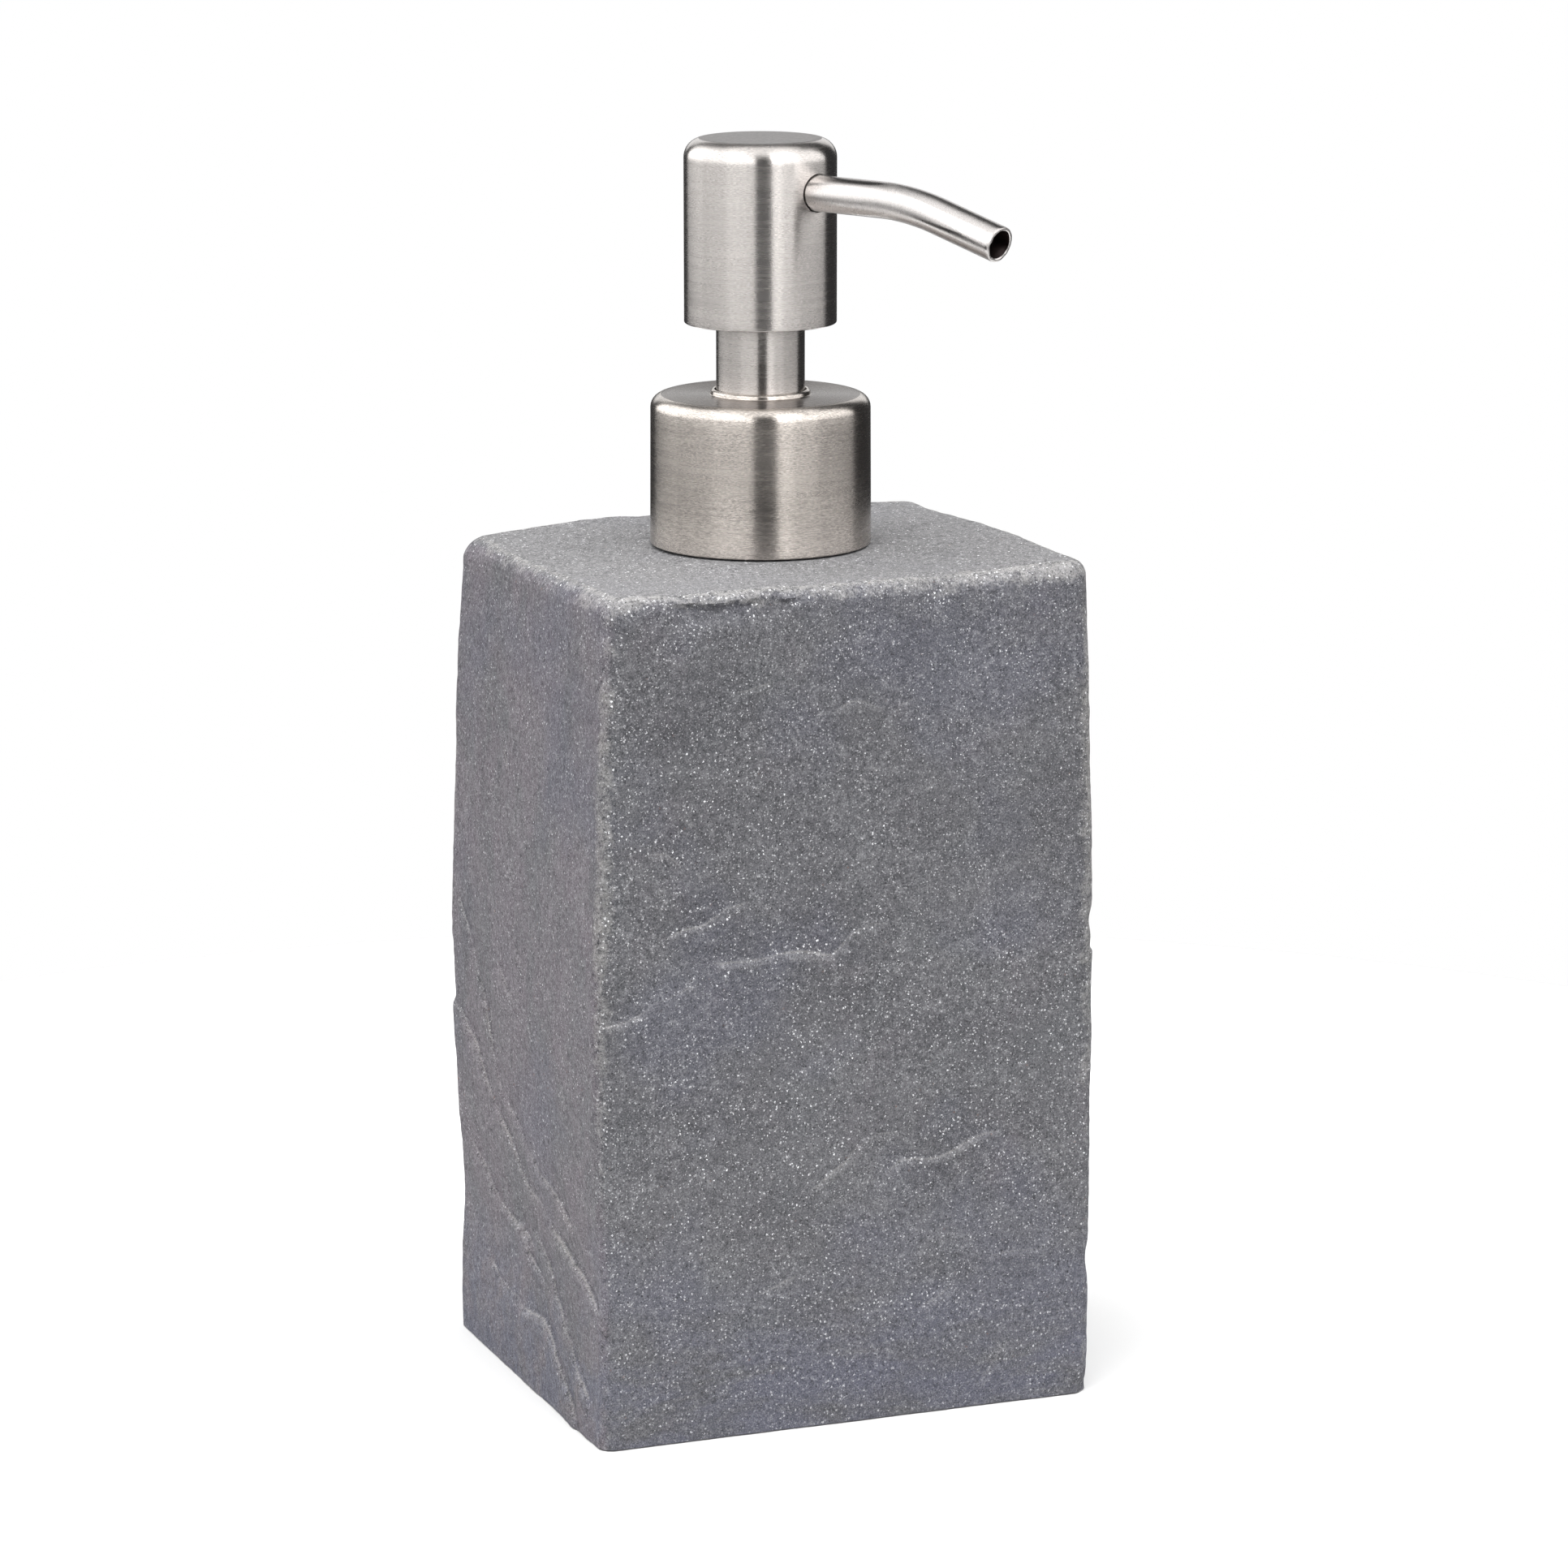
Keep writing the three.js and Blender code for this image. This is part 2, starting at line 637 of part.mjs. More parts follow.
const STONE = () => finish(0x6f7176, 0.85);
const FOAM = () => finish(0x2b2b2d, 0.95);
const STEEL = () => finish(0xb4b1ac, 0.32, 1);
const SPRING_STEEL = () => finish(0xa9abae, 0.25, 1);
const WHITE_PLASTIC = () => finish(0xe6e6e2, 0.45);
const CLEAR_PLASTIC = () => finish(0xd9dedd, 0.3);

function named(name, geometry, material) {
  const mesh = new THREE.Mesh(geometry, material);
  mesh.name = name;
  return mesh;
}

const bottle = new THREE.Group();
bottle.add(
  named('stone_body', stoneBody(), STONE()),
  named('base_pad', basePad(), FOAM()),
  named('neck_insert', neckInsert(), WHITE_PLASTIC()),
);

const collar = new THREE.Group();
collar.add(
  named('collar_shell', collarShell(), STEEL()),
  named('closure_ring', closureRing(), WHITE_PLASTIC()),
);

const pumpEngine = new THREE.Group();
pumpEngine.add(
  named('neck_gasket', neckGasket(), FOAM()),
  named('pump_housing', pumpHousing(), CLEAR_PLASTIC()),
  named('housing_cap', housingCap(), WHITE_PLASTIC()),
  named('guide_bush', guideBush(), WHITE_PLASTIC()),
  named('return_spring', returnSpring(), SPRING_STEEL()),
  named('inlet_ball', ball(INLET_BALL_R, inletBallHeight), SPRING_STEEL()),
  named('dip_tube', dipTube(), CLEAR_PLASTIC()),
);

const head = new THREE.Group();
head.add(
  named('piston_seal', pistonSeal(), WHITE_PLASTIC()),
  named('piston_rod', pistonRod(), WHITE_PLASTIC()),
  named('pump_stem', pumpStem(), WHITE_PLASTIC()),
  named('outlet_ball', ball(OUTLET_BALL_R, outletBallHeight), SPRING_STEEL()),
  named('stem_sleeve', tube(SLEEVE_R, SLEEVE_R - SLEEVE_WALL, SLEEVE_BOTTOM, SLEEVE_TOP), STEEL()),
  named('head_core', headCore(), WHITE_PLASTIC()),
  named('head_shell', headShell(), STEEL()),
  named('spout_tube', spoutTube(), STEEL()),
);

const dispenser = new THREE.Group();
dispenser.add(bottle, collar, pumpEngine, head);

export default dispenser;
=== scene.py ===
"""Soap pump dispenser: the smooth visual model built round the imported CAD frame.

Lengths are millimetres in the frame's own axes (+Z up, the pump's axis is the Z axis, -Y is the wide front
face) and are turned into metres when a mesh is made. Only the camera and the lights are placed in metres.
"""

import math

import bpy
import numpy as np
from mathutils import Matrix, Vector


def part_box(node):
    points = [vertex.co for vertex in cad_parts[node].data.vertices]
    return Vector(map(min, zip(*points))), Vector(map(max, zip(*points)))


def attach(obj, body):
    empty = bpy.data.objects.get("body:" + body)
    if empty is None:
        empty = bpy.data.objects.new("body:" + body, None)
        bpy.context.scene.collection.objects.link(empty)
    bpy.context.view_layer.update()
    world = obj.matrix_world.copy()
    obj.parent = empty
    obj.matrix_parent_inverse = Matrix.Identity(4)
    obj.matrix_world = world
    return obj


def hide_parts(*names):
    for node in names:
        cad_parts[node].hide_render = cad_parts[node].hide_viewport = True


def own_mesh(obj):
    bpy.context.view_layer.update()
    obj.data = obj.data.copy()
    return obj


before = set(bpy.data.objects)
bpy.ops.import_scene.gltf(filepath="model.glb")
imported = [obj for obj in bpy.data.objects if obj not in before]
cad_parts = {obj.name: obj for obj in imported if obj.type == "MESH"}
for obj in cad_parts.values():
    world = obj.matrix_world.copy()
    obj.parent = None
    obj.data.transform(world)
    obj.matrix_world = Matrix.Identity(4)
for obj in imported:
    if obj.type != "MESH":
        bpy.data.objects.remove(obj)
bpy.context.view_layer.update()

MM = 0.001
COLUMNS = 192  # columns round a turned piece
SHARP_EDGE = 32  # degrees between faces from which an edge is shaded sharp
SOFT_EDGE = 50  # the same on the stone and the spring's wire


def box_mm(node):
    """Lowest and highest corner of a CAD node, in millimetres."""
    low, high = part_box(node)
    return np.array(low) / MM, np.array(high) / MM


# ---- noise and curves used by the meshes ----


def lattice_noise(points, seed):
    """Smooth noise between -1 and 1 with features one unit across, one value a point."""
    period = 32
    table = np.random.RandomState(seed).uniform(-1, 1, (period, period, period))
    cell = np.floor(points).astype(int)
    part = points - cell
    part = part**3 * (part * (part * 6 - 15) + 10)
    total = np.zeros(len(points))
    for corner in np.ndindex(2, 2, 2):
        weight = np.prod(np.where(corner, part, 1 - part), axis=1)
        x, y, z = ((cell + corner) % period).T
        total += weight * table[x, y, z]
    return total


def cloud(points, size, seed, octaves=4):
    """Layered noise whose largest features are about size millimetres across, from about -1 to 1."""
    total = np.zeros(len(points))
    share, scale = 0.5, 1 / size
    apart = 7.3  # keeps the layers' lattices from lining up
    stretch = 1.6  # brings the sum back to about -1 to 1
    for octave in range(octaves):
        total += share * lattice_noise(points * scale + apart * octave, seed + octave)
        share, scale = share / 2, scale * 2
    return total * stretch


def smoothstep(low, high, value):
    """0 up to low, 1 from high on and a smooth rise between; low may be the larger of the two."""
    t = np.clip((value - low) / (high - low), 0, 1)
    return t * t * (3 - 2 * t)


def filleted(points, steps=4):
    """A profile from corners (r, z, fillet radius): each corner with a radius becomes an arc."""
    most = 0.49  # share of a side that one arc may use up
    out = []
    corners = [np.array(p[:2], float) for p in points]
    count = len(corners)
    for i, corner in enumerate(corners):
        radius = points[i][2] if len(points[i]) > 2 else 0
        before, after = corners[i - 1], corners[(i + 1) % count]
        if radius <= 0:
            out.append(corner)
            continue
        a, b = before - corner, after - corner
        length_a, length_b = np.linalg.norm(a), np.linalg.norm(b)
        a, b = a / length_a, b / length_b
        half = math.acos(np.clip(a @ b, -1, 1)) / 2
        reach = min(radius / math.tan(half), most * length_a, most * length_b)
        radius = reach * math.tan(half)
        middle = corner + (a + b) / np.linalg.norm(a + b) * radius / math.sin(half)
        start, end = corner + a * reach - middle, corner + b * reach - middle
        across = np.array([-start[1], start[0]])
        turn = math.atan2(across @ end, start @ end)
        for step in range(steps + 1):
            angle = turn * step / steps
            out.append(middle + (start * math.cos(angle) + across * math.sin(angle)))
    return [tuple(p) for p in out]


def subdivided(profile, spacing):
    """The profile with its long straight stretches cut into pieces no longer than spacing."""
    out = []
    for i, (r, z) in enumerate(profile):
        out.append((r, z))
        if i + 1 < len(profile):
            r2, z2 = profile[i + 1]
            parts = max(1, math.ceil(math.hypot(r2 - r, z2 - z) / spacing))
            out += [(r + (r2 - r) * k / parts, z + (z2 - z) * k / parts) for k in range(1, parts)]
    return out


# ---- mesh making ----


def add_to_scene(name, data):
    added = bpy.data.objects.new(name, data)
    bpy.context.scene.collection.objects.link(added)
    return added


def make_object(name, vertices, faces, sharp_angle=SHARP_EDGE):
    """A mesh object from vertices in millimetres, smooth except at edges sharper than the angle."""
    mesh = bpy.data.meshes.new(name)
    mesh.from_pydata((np.asarray(vertices) * MM).tolist(), [], faces)
    mesh.update()
    mesh.shade_smooth()
    mesh.set_sharp_from_angle(angle=math.radians(sharp_angle))
    return add_to_scene(name, mesh)


def ring_faces(rings, columns, closed):
    """Quads between rings of vertices laid one after another, each ring closing on itself."""
    row = np.arange(rings if closed else rings - 1)[:, None]
    low, high = row * columns, (row + 1) % rings * columns
    k = np.arange(columns)
    j = (k + 1) % columns
    return np.stack([low + k, low + j, high + j, high + k], -1).reshape(-1, 4).tolist()


def capped_faces(rings, columns):
    """Quads between rings, with one flat face over the first ring and one over the last."""
    faces = ring_faces(rings, columns, closed=False)
    faces.append(tuple(reversed(range(columns))))
    faces.append(tuple(range((rings - 1) * columns, rings * columns)))
    return faces


def fanned_faces(rings, columns):
    """Quads between rings, with fans from the first and the last to two vertices that follow them."""
    faces = ring_faces(rings, columns, closed=False)
    first, last, top_row = rings * columns, rings * columns + 1, (rings - 1) * columns
    for k in range(columns):
        j = (k + 1) % columns
        faces.append((first, j, k))
        faces.append((last, top_row + k, top_row + j))
    return faces


def circle_angles(columns):
    return 2 * math.pi * np.arange(columns) / columns


def on_circle(angles):
    """Points on the unit circle round the Z axis, at z = 0."""
    return np.column_stack([np.cos(angles), np.sin(angles), 0 * angles])


def turned(name, profile, move=None):
    """A profile of (r, z) points turned about the Z axis. It runs up the outside and down the inside.
    A profile that starts on the axis ends on it too; any other closes on itself."""
    on_axis = profile[0][0] == 0
    body = profile[1:-1] if on_axis else profile
    angles = circle_angles(COLUMNS)
    r, z = np.array(body).T[:, :, None]
    vertices = np.stack([r * np.cos(angles), r * np.sin(angles), z + 0 * angles], -1).reshape(-1, 3)
    if on_axis:
        vertices = np.vstack([vertices, [0, 0, profile[0][1]], [0, 0, profile[-1][1]]])
        faces = fanned_faces(len(body), COLUMNS)
    else:
        faces = ring_faces(len(body), COLUMNS, closed=True)
    if move is not None:
        vertices = move(vertices)
    return make_object(name, vertices, faces)


def cut(piece, cutter):
    """Takes the cutter out of the piece and throws the cutter away."""
    modifier = piece.modifiers.new("cut", "BOOLEAN")
    modifier.operation = "DIFFERENCE"
    modifier.solver = "EXACT"
    modifier.object = cutter
    bpy.context.view_layer.update()
    evaluated = piece.evaluated_get(bpy.context.evaluated_depsgraph_get())
    mesh = bpy.data.meshes.new_from_object(evaluated)
    piece.modifiers.clear()
    piece.data = mesh
    mesh.shade_smooth()
    mesh.set_sharp_from_angle(angle=math.radians(SHARP_EDGE))
    bpy.data.objects.remove(cutter)


def side_rod(radius, start, end, height, direction):
    """A rod pointing along a horizontal direction, for cutting side holes."""
    columns = 96
    side = np.cross([0, 0, 1], direction)
    angles = circle_angles(columns)
    ring = radius * (np.cos(angles)[:, None] * side + np.sin(angles)[:, None] * np.array([0, 0, 1]))
    base = np.array([0, 0, height])
    vertices = np.vstack([ring + base + start * direction, ring + base + end * direction])
    return make_object("cutter", vertices, capped_faces(2, columns))


# ---- material making ----

STONE_DARK = (0.066, 0.0655, 0.072, 1)
STONE_PLAIN = (0.089, 0.0885, 0.096, 1)
STONE_PALE = (0.127, 0.126, 0.133, 1)
STONE_PURPLE = (0.117, 0.103, 0.117, 1)
STONE_GREEN = (0.085, 0.091, 0.096, 1)
STONE_BLUE = (0.083, 0.085, 0.113, 1)
# paler colour laid on upward faces: painted sheen
STONE_TOP_PAINTED_SHEEN = (0.144, 0.142, 0.141, 1)
# pale worn stone, also laid on the ledges' crests as painted highlight
STONE_WEAR_AND_HIGHLIGHT = (0.262, 0.254, 0.240, 1)
# dark pits and grit, also laid along the ledges as painted shadow
STONE_PIT_AND_SHADOW = (0.016, 0.016, 0.019, 1)
STONE_RUST = (0.160, 0.085, 0.060, 1)
STONE_FLECK = (0.300, 0.300, 0.312, 1)
STONE_WHITE = (0.820, 0.820, 0.840, 1)


class Shading:
    """The shader nodes of a material or world, built from nothing."""

    def __init__(self, owner):
        owner.use_nodes = True
        self.tree = owner.node_tree
        self.tree.nodes.clear()

    def node(self, kind, feeds, **settings):
        """A shader node with its settings, and its sockets fed from a dict of names or numbers."""
        made = self.tree.nodes.new("ShaderNode" + kind)
        for key, value in settings.items():
            setattr(made, key, value)
        for socket, source in feeds.items():
            self.feed(source, made.inputs[socket])
        return made

    def feed(self, source, socket):
        """Links an output to a socket, or sets the socket's value."""
        if isinstance(source, bpy.types.NodeSocket):
            self.tree.links.new(source, socket)
        else:
            socket.default_value = source


class Look(Shading):
    """A node material under construction, with one principled shader."""

    def __init__(self, name, **sockets):
        self.material = bpy.data.materials.new(name)
        super().__init__(self.material)
        self.shader = self.node("BsdfPrincipled", {})
        self.node("OutputMaterial", {"Surface": self.shader.outputs["BSDF"]})
        self.place = self.node("TexCoord", {}).outputs["Object"]
        self.set(**sockets)

    def attribute(self, name):
        return self.node("Attribute", {}, attribute_name=name).outputs["Fac"]

    def split(self, place):
        """The x, y and z of coordinates, in metres."""
        return self.node("SeparateXYZ", {0: place}).outputs

    def scaled(self, scale, place=None, turn=(0, 0, 0)):
        """Object coordinates in metres, turned and then multiplied by scale."""
        feeds = {"Vector": place or self.place, "Rotation": turn, "Scale": scale}
        return self.node("Mapping", feeds).outputs["Vector"]

    def noise(self, size, detail=3, roughness=0.55, distortion=0.0, place=None):
        """Noise from 0 to 1 whose features are about size millimetres across."""
        feeds = {"Vector": place or self.place, "Scale": 1 / (size * MM), "Detail": detail,
                 "Roughness": roughness, "Distortion": distortion}
        return self.node("TexNoise", feeds).outputs["Fac"]

    def shaken(self, size, reach):
        """Object coordinates pushed about by noise, both in millimetres, so round cells turn ragged."""
        texture = self.node("TexNoise", {"Vector": self.place, "Scale": 1 / (size * MM), "Detail": 0})
        middle = (0.5, 0.5, 0.5)
        centred = self.node("VectorMath", {0: texture.outputs["Color"], 1: middle}, operation="SUBTRACT")
        push = self.node("VectorMath", {0: centred.outputs[0], "Scale": 4 * reach * MM}, operation="SCALE")
        return self.node("VectorMath", {0: self.place, 1: push.outputs[0]}, operation="ADD").outputs[0]

    def cells(self, size, place=None):
        """Distance to the nearest cell point, and a random colour a cell, for cells of that size."""
        texture = self.node("TexVoronoi", {"Vector": place or self.place, "Scale": 1 / (size * MM)})
        return texture.outputs["Distance"], texture.outputs["Color"]

    def math(self, operation, a, b=0.0):
        return self.node("Math", {0: a, 1: b}, operation=operation).outputs[0]

    def times(self, a, b):
        return self.math("MULTIPLY", a, b)

    def plus(self, a, b):
        return self.math("ADD", a, b)

    def fit(self, value, low, high, to_low=0.0, to_high=1.0):
        """The value's range from low to high stretched over another range, clamped."""
        feeds = {0: value, 1: low, 2: high, 3: to_low, 4: to_high}
        return self.node("MapRange", feeds, clamp=True).outputs["Result"]

    def mix(self, share, a, b):
        """Colour a with that share of colour b laid over it."""
        return self.node("Mix", {"Factor": share, 6: a, 7: b}, data_type="RGBA").outputs[2]

    def lay(self, base, layers):
        """Lays colours over a base, each from (colour, source, low, high, share): none of the colour
        where the source is low, and that share of it where it is high."""
        for colour, source, low, high, share in layers:
            base = self.mix(self.fit(source, low, high, 0, share), base, colour)
        return base

    def bump(self, height, distance_mm, strength, **under):
        """Normals of a relief, laid over the relief given as Normal, if any."""
        feeds = {"Strength": strength, "Distance": distance_mm * MM, "Height": height, **under}
        return self.node("Bump", feeds).outputs["Normal"]

    def set(self, **sources):
        """Feeds the shader's sockets."""
        for socket, source in sources.items():
            self.feed(source, self.shader.inputs[socket.replace("_", " ")])


def stone_grains(look, base, height):
    """Adds small ragged grains. Fewer of the pale ones show on the mauve and upward faces and near the foot,
    and more on worn edges. Their thinning on the mauve left face is painted shade, dimming the flecks on that
    side."""
    gather = look.fit(look.noise(5, detail=4), 0.38, 0.60, 0.45, 0.9)
    gather = look.math("MAXIMUM", gather, look.times(look.attribute("wear"), 0.6))
    # fewer pale grains on the mauve left face: painted shade
    for thinner, left in ((look.attribute("mauve"), 0.6), (look.attribute("upward"), 0.85)):
        gather = look.times(gather, look.fit(thinner, 0, 1, 1.0, left))
    gather = look.times(gather, look.fit(height, 0.003, 0.040, 0.5, 1.0))
    for size, reach, share_kept, colour, strength, where in (  # the grains' spacing and largest radius
        (1.90, 0.200, 0.30, STONE_RUST, 0.9, 1.0),
        (0.40, 0.110, 0.60, STONE_FLECK, 0.9, gather),
        (0.46, 0.120, 0.60, STONE_WHITE, 0.55, gather),
        (0.64, 0.165, 0.85, STONE_WHITE, 1.0, gather),
        (0.45, 0.110, 0.70, STONE_PIT_AND_SHADOW, 0.9, 1.0),
        (0.62, 0.150, 0.80, STONE_PIT_AND_SHADOW, 1.0, 1.0),
    ):
        distance, chance = look.cells(size, place=look.shaken(0.9 * reach, 0.55 * reach))
        for_kept, for_radius, for_strength = look.node("SeparateColor", {0: chance}).outputs
        kept = look.math("LESS_THAN", for_kept, share_kept)
        radius = look.fit(for_radius, 0, 1, 0.45 * reach / size, reach / size)
        near = look.fit(look.math("SUBTRACT", radius, distance), -0.02, 0.05)
        share = look.times(look.times(kept, near), look.fit(for_strength, 0, 1, 0.4 * strength, strength))
        base = look.mix(look.times(share, where), base, colour)
    return base


def stone_ledges(look, base, streak, clouds, grain):
    """Paints light and shade along each ledge: a painted highlight with some wear on its pale crest, a
    painted shadow as a dark band over it, and a faint paler band under it. The distance from the ledge is
    shaken, so that their edges are ragged."""
    above = look.plus(look.attribute("ledge_gap"), look.fit(grain, 0.3, 0.7, -0.13, 0.13))
    above = look.plus(above, look.fit(clouds, 0.3, 0.7, -0.12, 0.12))
    ledge = look.times(look.attribute("ledge"), look.fit(streak, 0.38, 0.5, 0.55, 1.0))
    # first row: painted shadow over the step; second: a faint paler band under it; third: painted highlight
    # and wear on the crest
    for colour, middle, fades_at, full_at, share in (
        (STONE_PIT_AND_SHADOW, 0.46, 0.36, 0.06, 0.34),
        (STONE_WEAR_AND_HIGHLIGHT, -0.45, 0.75, 0.10, 0.16),
        (STONE_WEAR_AND_HIGHLIGHT, 0.06, 0.20, 0.03, 0.48),
    ):
        away = look.math("ABSOLUTE", look.math("SUBTRACT", above, middle))
        base = look.mix(look.times(ledge, look.fit(away, fades_at, full_at, 0, share)), base, colour)
    return base


def stone_look():
    """Cast resin full of stone dust: clouds of grey, dust as fine as sand, and white and dark grains, with a
    painted sheen on the top and painted highlights and shadows along the ledges.
    """
    look = Look("stone_resin", Roughness=0.82, Specular_IOR_Level=0.3)
    rising = look.scaled((0.3, 1, 1), turn=(0, math.radians(20), 0))
    blotch = look.noise(24, detail=5, roughness=0.6, distortion=0.5)
    streak = look.noise(7, detail=5, roughness=0.62, distortion=0.3, place=rising)
    clouds = look.noise(3.2, detail=5, roughness=0.68)
    grain = look.noise(0.9, detail=5, roughness=0.72)
    dust = look.noise(0.26, detail=3, roughness=0.75)
    tint = look.noise(11, detail=5, roughness=0.66, distortion=0.6, place=look.scaled((1, 1, 0.7)))
    cool = look.noise(34, detail=3)
    upward, mauve = look.attribute("upward"), look.attribute("mauve")
    height = look.split(look.place)[2]

    base = look.mix(look.fit(blotch, 0.36, 0.64), STONE_DARK, STONE_PLAIN)
    base = look.mix(look.times(mauve, look.fit(tint, 0.34, 0.56, 0.35, 1.0)), base, STONE_PURPLE)
    base = look.lay(base, (
        (STONE_PALE, streak, 0.42, 0.72, 0.45),
        (STONE_DARK, clouds, 0.46, 0.30, 0.50),
        (STONE_PALE, clouds, 0.52, 0.72, 0.40),
        (STONE_PURPLE, tint, 0.56, 0.70, 0.30),
        (STONE_GREEN, tint, 0.48, 0.36, 0.25),
        (STONE_BLUE, cool, 0.50, 0.62, 0.45),
    ))
    blue_foot = look.times(look.fit(height, 0.026, 0.008), look.fit(streak, 0.40, 0.56))
    base = look.mix(look.times(blue_foot, 0.85), base, STONE_BLUE)
    # painted sheen: faces that point up are made paler, standing in for the light the top catches
    base = look.mix(look.times(upward, 0.7), base, STONE_TOP_PAINTED_SHEEN)
    frayed = look.plus(look.attribute("wear"), look.fit(grain, 0.3, 0.7, -0.38, 0.38))
    frayed = look.plus(frayed, look.fit(clouds, 0.3, 0.7, -0.25, 0.25))
    base = look.lay(base, ((STONE_WEAR_AND_HIGHLIGHT, frayed, 0.30, 1.0, 0.55),))
    # painted highlights and shadows along the ledges
    base = stone_ledges(look, base, streak, clouds, grain)
    pitted = look.fit(look.math("MAXIMUM", mauve, upward), 0, 1, 0.62, 0.9)
    base = look.mix(look.times(look.fit(grain, 0.48, 0.30), pitted), base, STONE_PIT_AND_SHADOW)
    base = look.lay(base, (
        (STONE_FLECK, grain, 0.53, 0.72, 0.45),
        (STONE_PIT_AND_SHADOW, dust, 0.49, 0.33, 0.75),
        (STONE_FLECK, dust, 0.54, 0.70, 0.45),
    ))
    base = stone_grains(look, base, height)

    fine = look.bump(dust, 0.03, 0.5)
    grainy = look.bump(grain, 0.08, 0.55, Normal=fine)
    soft = look.bump(clouds, 0.22, 0.5, Normal=grainy)
    look.set(Base_Color=base, Normal=soft, Roughness=look.fit(grain, 0.3, 0.7, 0.72, 0.9))
    return look.material


def shaded(colour, factor):
    """A colour made darker or lighter, with alpha added."""
    return tuple(min(1, factor * c) for c in colour) + (1,)


def brushed_steel(name, streaks, base=(0.62, 0.585, 0.560), rough=0.27, fan="Z", contrast=1.0,
                  fineness=1.0, glance=1.0):
    """Brushed stainless steel. streaks(look) gives coordinates whose x axis runs along the brush lines,
    in metres. glance is the share of light it keeps when seen at a low angle."""
    look = Look(name, Metallic=1.0, Anisotropic=0.9, Anisotropic_Rotation=0.25,
                Specular_Tint=(glance, glance, glance, 1))
    look.set(Tangent=look.node("Tangent", {}, direction_type="RADIAL", axis=fan).outputs[0])
    along = streaks(look)

    def lines(length, across, detail, roughness=0.55):
        """Noise drawn out along the brush lines; both scales count features a millimetre."""
        place = look.scaled((length, across, across), along)
        return look.noise(1, detail=detail, roughness=roughness, place=place)

    hair = lines(2.0, 11 * fineness, 3, 0.65)
    dashes = lines(2.6, 11 * fineness, 1, 0.6)
    scratch = lines(0.7, 11 * fineness, 0)
    bands = lines(0.10, 2.2, 3, 0.6)
    cloudy = look.noise(9, detail=3)
    dark, light = shaded(base, 0.64), shaded(base, 1.28)
    colour = look.mix(look.fit(bands, 0.34, 0.66), shaded(base, 0.975), shaded(base, 1))
    colour = look.lay(colour, (
        (dark, hair, 0.50, 0.28, 0.85 * contrast),
        (light, hair, 0.50, 0.72, 0.85 * contrast),
        (dark, dashes, 0.66, 0.74, 0.75 * contrast),
        (light, scratch, 0.76, 0.84, 0.25 * contrast),
        (shaded(base, 0.93), cloudy, 0.35, 0.65, 0.25),
    ))
    normal = look.bump(dashes, 0.006, 0.35)
    normal = look.bump(hair, 0.008, 0.35, Normal=normal)
    sheen = look.fit(bands, 0.3, 0.7, rough - 0.02, rough + 0.02)
    look.set(Base_Color=colour, Normal=normal, Roughness=sheen)
    return look.material


def round_streaks(look):
    """Brush lines that run round the Z axis."""
    x, y, z = look.split(look.place)
    angle = look.math("ARCTAN2", y, x)
    radius = look.math("SQRT", look.plus(look.times(x, x), look.times(y, y)))
    return look.node("CombineXYZ", {0: look.times(angle, radius), 1: radius, 2: z}).outputs[0]


def straight_streaks(turn_degrees):
    """Brush lines that run straight, in the plane of a flat top."""
    return lambda look: look.scaled((1, 1, 1), turn=(0, 0, math.radians(turn_degrees)))


def plastic_look(name, colour, rough, **sockets):
    """Moulded plastic, faintly mottled. More of the shader's sockets can be set by name."""
    look = Look(name, Specular_IOR_Level=0.5, IOR=1.5, **sockets)
    mottle = look.noise(6, detail=3)
    flow = look.noise(1.4, detail=4, roughness=0.6)
    look.set(
        Base_Color=look.mix(mottle, shaded(colour, 0.93), shaded(colour, 1.06)),
        Roughness=look.fit(flow, 0.3, 0.7, rough - 0.05, rough + 0.08),
        Normal=look.bump(flow, 0.02, 0.3),
    )
    return look.material


def foam_look():
    look = Look("foam", Specular_IOR_Level=0.2)
    distance, _ = look.cells(0.5)
    pores = look.fit(distance, 0.1, 0.6)
    look.set(
        Base_Color=look.mix(pores, (0.012, 0.012, 0.013, 1), (0.04, 0.04, 0.042, 1)),
        Roughness=look.fit(pores, 0, 1, 0.98, 0.85),
        Normal=look.bump(pores, 0.12, 0.8),
    )
    return look.material


# ---- bottle ----

STONE_LOW, STONE_HIGH = box_mm("stone_body")
HALF_X, HALF_Y = STONE_HIGH[0], STONE_HIGH[1]  # at the base
STONE_BASE, STONE_TOP = STONE_LOW[2], STONE_HIGH[2]
DRAFT_X = 1.3  # lean of the narrow faces between base and top
BELLY_X = 0.95  # and their swell at half height
SPREAD_Y = 0.4  # the wide faces lean out a little
EDGE_RADIUS = 2.2  # of the upright edges
TOP_EDGE_RADIUS = 3.7  # of their upper ends
CROWN_RADIUS = 2.8  # of the edge round the top
CASTING_SHIFT = np.array([0.7, -0.4])  # the casting is a little off the pump's axis
GRID = 0.38  # spacing of the body's vertices
CORNER_COLUMNS, CROWN_ROWS, TOP_ROWS = 12, 12, 44
BORE_RADIUS = 12.5
MOUTH_RISE = 0.42  # the top rises a little towards the collar
GROOVE_RADIUS, GROOVE_LOW, GROOVE_HIGH = 14.5, 114.7, 118.3  # holds the neck's rib
CAVITY_X, CAVITY_Y, CAVITY_CORNER = 30, 25, 8  # half sizes of the hollow and its upright edges' radius
CAVITY_FLOOR, CAVITY_CROWN = 9.0, 6.0  # its floor's height and the rounding at floor and ceiling
PAD_ROOM = 0.3  # gap round and over the foam pad
PAD_CORNER = 6

